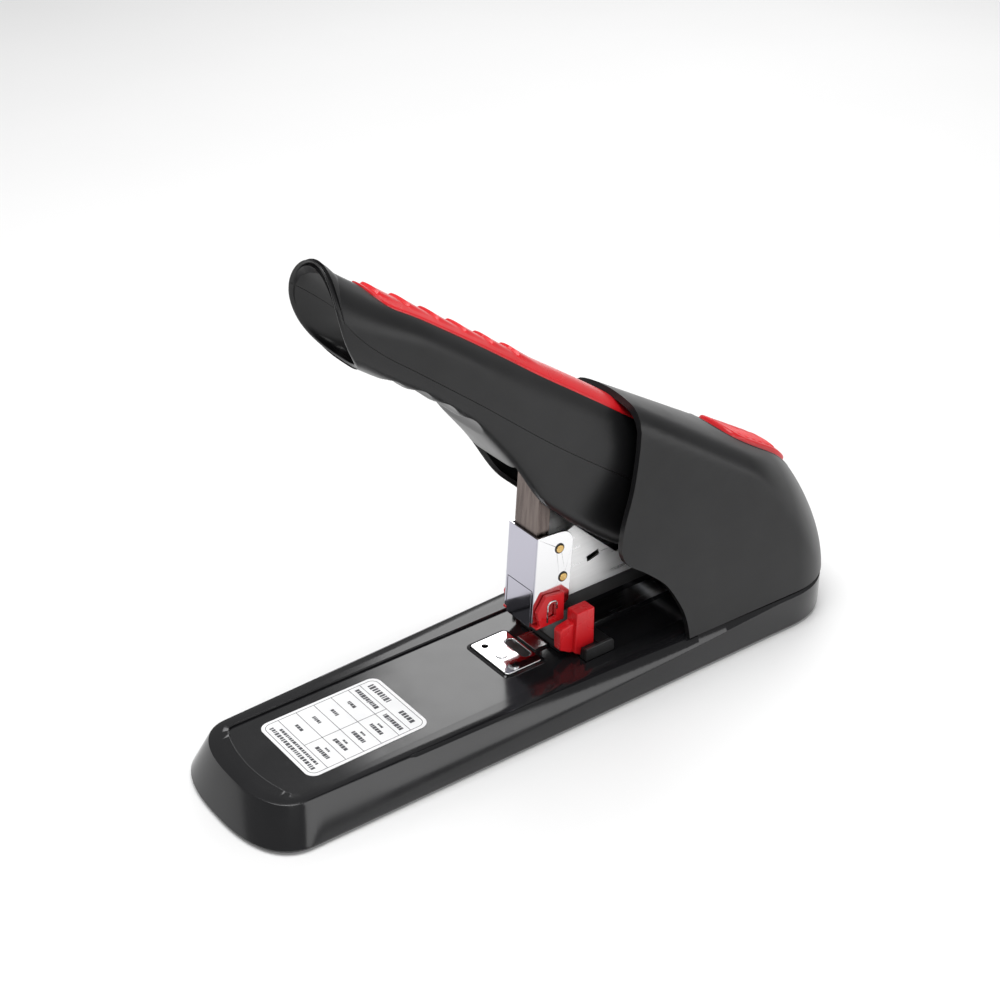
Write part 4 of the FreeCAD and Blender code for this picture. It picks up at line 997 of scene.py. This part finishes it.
def make_anvil():
    """Anvil plate with its clinch pocket, and the raised border of the deck round it."""
    plate = prism(round_outline(*ANVIL_PLATE), ANVIL_LOW, ANVIL_TOP, "z")
    obj = many_solids("anvil_plate_skin", [plate], "base", "chrome", "anvil_plate")
    cut_with(obj, *prism(round_outline(*ANVIL_POCKET, 9), POCKET_FLOOR, ANVIL_TOP + 1, "z"))
    cut_with(obj, *prism(circle_outline(*ANVIL_HOLE), ANVIL_LOW - 0.85, ANVIL_TOP + 1, "z"))
    round_edges(obj, 0.35, 30, 3)
    block = [prism(round_outline(*CLINCH_BLOCK, 9), CLINCH_LOW, CLINCH_TOP, "z")]
    middle_x = sum(ANVIL_POCKET[0]) / 2
    for y in DIMPLE_YS:
        block.append(prism(circle_outline(middle_x, y, DIMPLE_RADIUS), CLINCH_TOP, DIMPLE_TOP, "z"))
    round_edges(many_solids("clinch_block", block, "base", "black_steel"), 0.25, 30)
    outer = np.array(round_outline(*BORDER_OUTER, 8))
    inner = np.array(round_outline(*BORDER_INNER, 8))
    rings = [raised(outer, BORDER_LOW), raised(outer, BORDER_EDGE),
             raised(inner, BORDER_TOP), raised(inner, BORDER_LOW)]
    round_edges(ring_solid("anvil_border", rings, "base", "gloss_black"), 0.15, 20)


def tube(path, radius, sides=10):
    """Round wire along a path of points in millimetres."""
    path = np.array(path, float)
    rows = []
    for i, point in enumerate(path):
        ahead = path[min(i + 1, len(path) - 1)] - path[max(i - 1, 0)]
        ahead /= np.linalg.norm(ahead)
        across = np.cross(ahead, (0, 1, 0))
        across /= np.linalg.norm(across)
        third = np.cross(ahead, across)
        turns = np.linspace(0, 2 * math.pi, sides, endpoint=False)
        rows.append(point + radius * (np.cos(turns)[:, None] * across + np.sin(turns)[:, None] * third))
    return np.concatenate(rows), grid_faces(len(rows), sides, wrap=True) + end_caps(len(rows), sides)


GRIP_FACE_Y = 10.5
LOOP_WIRE = 0.42
LOOP_FRONT = ((0.2, 30.6), (0.4, 36.0))      # x, z
LOOP_CROWN = (2.6, 37.6, 2.2, 1.7)           # centre x, centre z, half width, rise
LOOP_END = (4.8, 35.4)


def make_gate_loops():
    """Bright inverted-U wire let into each gate grip."""
    centre_x, centre_z, half, rise = LOOP_CROWN
    turns = np.linspace(math.pi, 0, 9)
    crown = [(centre_x + half * math.cos(turn), centre_z + rise * math.sin(turn)) for turn in turns]
    loops = []
    for y in (-GRIP_FACE_Y, GRIP_FACE_Y):
        path = [(x, y, z) for x, z in (*LOOP_FRONT, *crown, LOOP_END)]
        loops.append(tube(path, LOOP_WIRE))
    many_solids("gate_loops", loops, "gate", "steel")


# name, body, first turn's centre, way it runs, length, radius, wire, turns, joint, share left at its limit
SPRINGS = (("pusher_spring", "head", (8.5, 0, 38.0), "x", 64.3, 2.1, 0.8, 26, "pusher_slide", 0.22),
           ("head_spring", "base", (89.0, 0, 15.6), "z", 13.2, 4.2, 1.2, 6, "head_hinge", 0.88))


def make_springs():
    """Compression springs: a wire coil along each spring's axis, at its full length."""
    axes = {"x": np.eye(3), "z": np.eye(3)[[2, 0, 1]]}
    for node, body, start, way, length, radius, wire, turns, joint, keep in SPRINGS:
        along, first, second = axes[way]
        angle = np.linspace(0, 2 * math.pi * turns, 20 * turns)[:, None]
        radial = np.cos(angle) * first + np.sin(angle) * second
        centre = np.array(start) + along * length * angle / angle[-1] + radius * radial
        rim = np.linspace(0, 2 * math.pi, 8, endpoint=False)[None, :, None]
        rows = centre[:, None] + wire / 2 * (np.cos(rim) * radial[:, None] + np.sin(rim) * along)
        count, sides = rows.shape[:2]
        faces = grid_faces(count, sides, wrap=True) + end_caps(count, sides)
        obj = new_piece(node + "_coil", rows.reshape(-1, 3), faces, body, "steel", node)
        fix_normals(obj)
        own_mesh(obj)


RIVET_PLACES = ((7.2, 60.2), (9.0, 47.0))     # x, z
RIVET_FACE_Y = 8.4
# name, radius, how far out, rounding, slot, CAD nodes that it stands for
RIVET_PARTS = (("rivet_washers", 2.15, 8.75, 0.1, "black_steel", ()),
               ("rivet_domes", 1.7, 9.15, 0.3, "brass", ("head_rivets",)))


def make_rivets():
    """Rivet heads on both arm plates: a dark washer under a brassy dome."""
    for name, radius, out, rounding, slot, nodes in RIVET_PARTS:
        solids = []
        for x, z in RIVET_PLACES:
            solids += both(circle_outline(x, z, radius), RIVET_FACE_Y, out)
        round_edges(many_solids(name, solids, "head", slot, *nodes), rounding, 30, 3)


SCREW_Y = 8.0
# radius, from and to above the groove: head, shank
SCREW_STEPS = ((2.4, 1.2, 2.6), (1.3, 2.6, 8.0))


def make_handle_screws():
    """Screws sunk in the finger grooves, shanks up into the upper shell."""
    stations = np.linspace(0, 8, 400)
    solids = []
    for front, rear in (FINGER_CUSPS[:2], FINGER_CUSPS[3:]):
        x = (front + rear) / 2
        groove = float(form[3](np.interp(x, form[2](stations), stations))) + FINGER_DEPTH
        for y in (-SCREW_Y, SCREW_Y):
            for radius, low, high in SCREW_STEPS:
                solids.append(prism(circle_outline(x, y, radius), groove + low, groove + high, "z"))
    round_edges(many_solids("handle_screw_heads", solids, "handle", "steel", "handle_screws"), 0.2, 30)


make_shell("upper_shell_skin", upper_downs, True, "handle_upper_shell")
make_shell("lower_shell_skin", lower_downs, False, "handle_lower_shell")
make_insert()
make_housing()
make_bezel()
make_button()
make_base()
make_print()
make_guide()
make_anvil()
make_gate_loops()
make_handle_screws()
make_rivets()
make_springs()

# edge rounding of the CAD nodes that stay in view
EDGE_ROUND = {"gate_grip": 0.35, "front_housing": 0.25, "driver_blade": 0.2, "deck_panel": 0.25,
              "size_label": 0.05}
PLAIN_ROUND = 0.15
for name, node in NODES.items():
    if name not in SKINNED:
        round_edges(node, EDGE_ROUND.get(name, PLAIN_ROUND), weld=True)


# ------------------------ stage

WORLD_STRENGTH = 0.35
FLOOR_HALF = 6.0
LIGHT_TARGET = (0, 0, 0.06)
FACET_TARGET = (0, -0.04, 0.02)
# name, place, target, size, power
LIGHTS = (("key", (-0.15, 0.1, 1.3), LIGHT_TARGET, (0.9, 1.1), 15),
          ("side", (-0.5, -1.1, 0.75), LIGHT_TARGET, (0.8, 0.4), 3.5),
          ("rear", (0.9, 0.8, 0.8), LIGHT_TARGET, (0.8, 0.5), 4),
          ("facet", (0.75, -1.25, 0.34), FACET_TARGET, (1.6, 0.45), 5))
CAMERA_PLACE = (-0.3474, -0.4402, 0.4116)
CAMERA_VIEW = (0.5193, 0.6862, -0.5094)
SENSOR_WIDTH, LENS = 36, 63.55


def make_floor():
    mesh = bpy.data.meshes.new("floor")
    corners = [(x * FLOOR_HALF, y * FLOOR_HALF, 0) for x, y in ((-1, -1), (1, -1), (1, 1), (-1, 1))]
    mesh.from_pydata(corners, [], [(0, 1, 2, 3)])
    floor = bpy.data.objects.new("floor", mesh)
    bpy.context.scene.collection.objects.link(floor)
    floor.data.materials.append(surface("floor", (0.88, 0.88, 0.88), 0.6, 0,
                                        ((3,), (0.87, 0.87, 0.87), (0.89, 0.89, 0.89))))


def aim(obj, place, view):
    """Puts an object in place, looking along view."""
    obj.location = place
    obj.rotation_euler = Vector(view).to_track_quat("-Z", "Y").to_euler()
    bpy.context.scene.collection.objects.link(obj)


def make_lights():
    world = bpy.data.worlds.new("studio")
    world.use_nodes = True
    background = world.node_tree.nodes["Background"]
    background.inputs["Color"].default_value = (1, 1, 1, 1)
    background.inputs["Strength"].default_value = WORLD_STRENGTH
    bpy.context.scene.world = world
    bpy.context.scene.view_settings.view_transform = "Standard"
    for name, place, target, size, power in LIGHTS:
        light = bpy.data.lights.new(name, "AREA")
        light.shape = "RECTANGLE"
        light.size, light.size_y = size
        light.energy = power
        aim(bpy.data.objects.new(name, light), place, Vector(target) - Vector(place))


def make_camera():
    """Camera at the viewing angle: from the front left, looking down on the stapler."""
    camera = bpy.data.cameras.new("camera")
    camera.sensor_width = SENSOR_WIDTH
    camera.lens = LENS
    camera.clip_start = 0.01
    obj = bpy.data.objects.new("camera", camera)
    aim(obj, CAMERA_PLACE, CAMERA_VIEW)
    bpy.context.scene.camera = obj


make_floor()
make_lights()
make_camera()
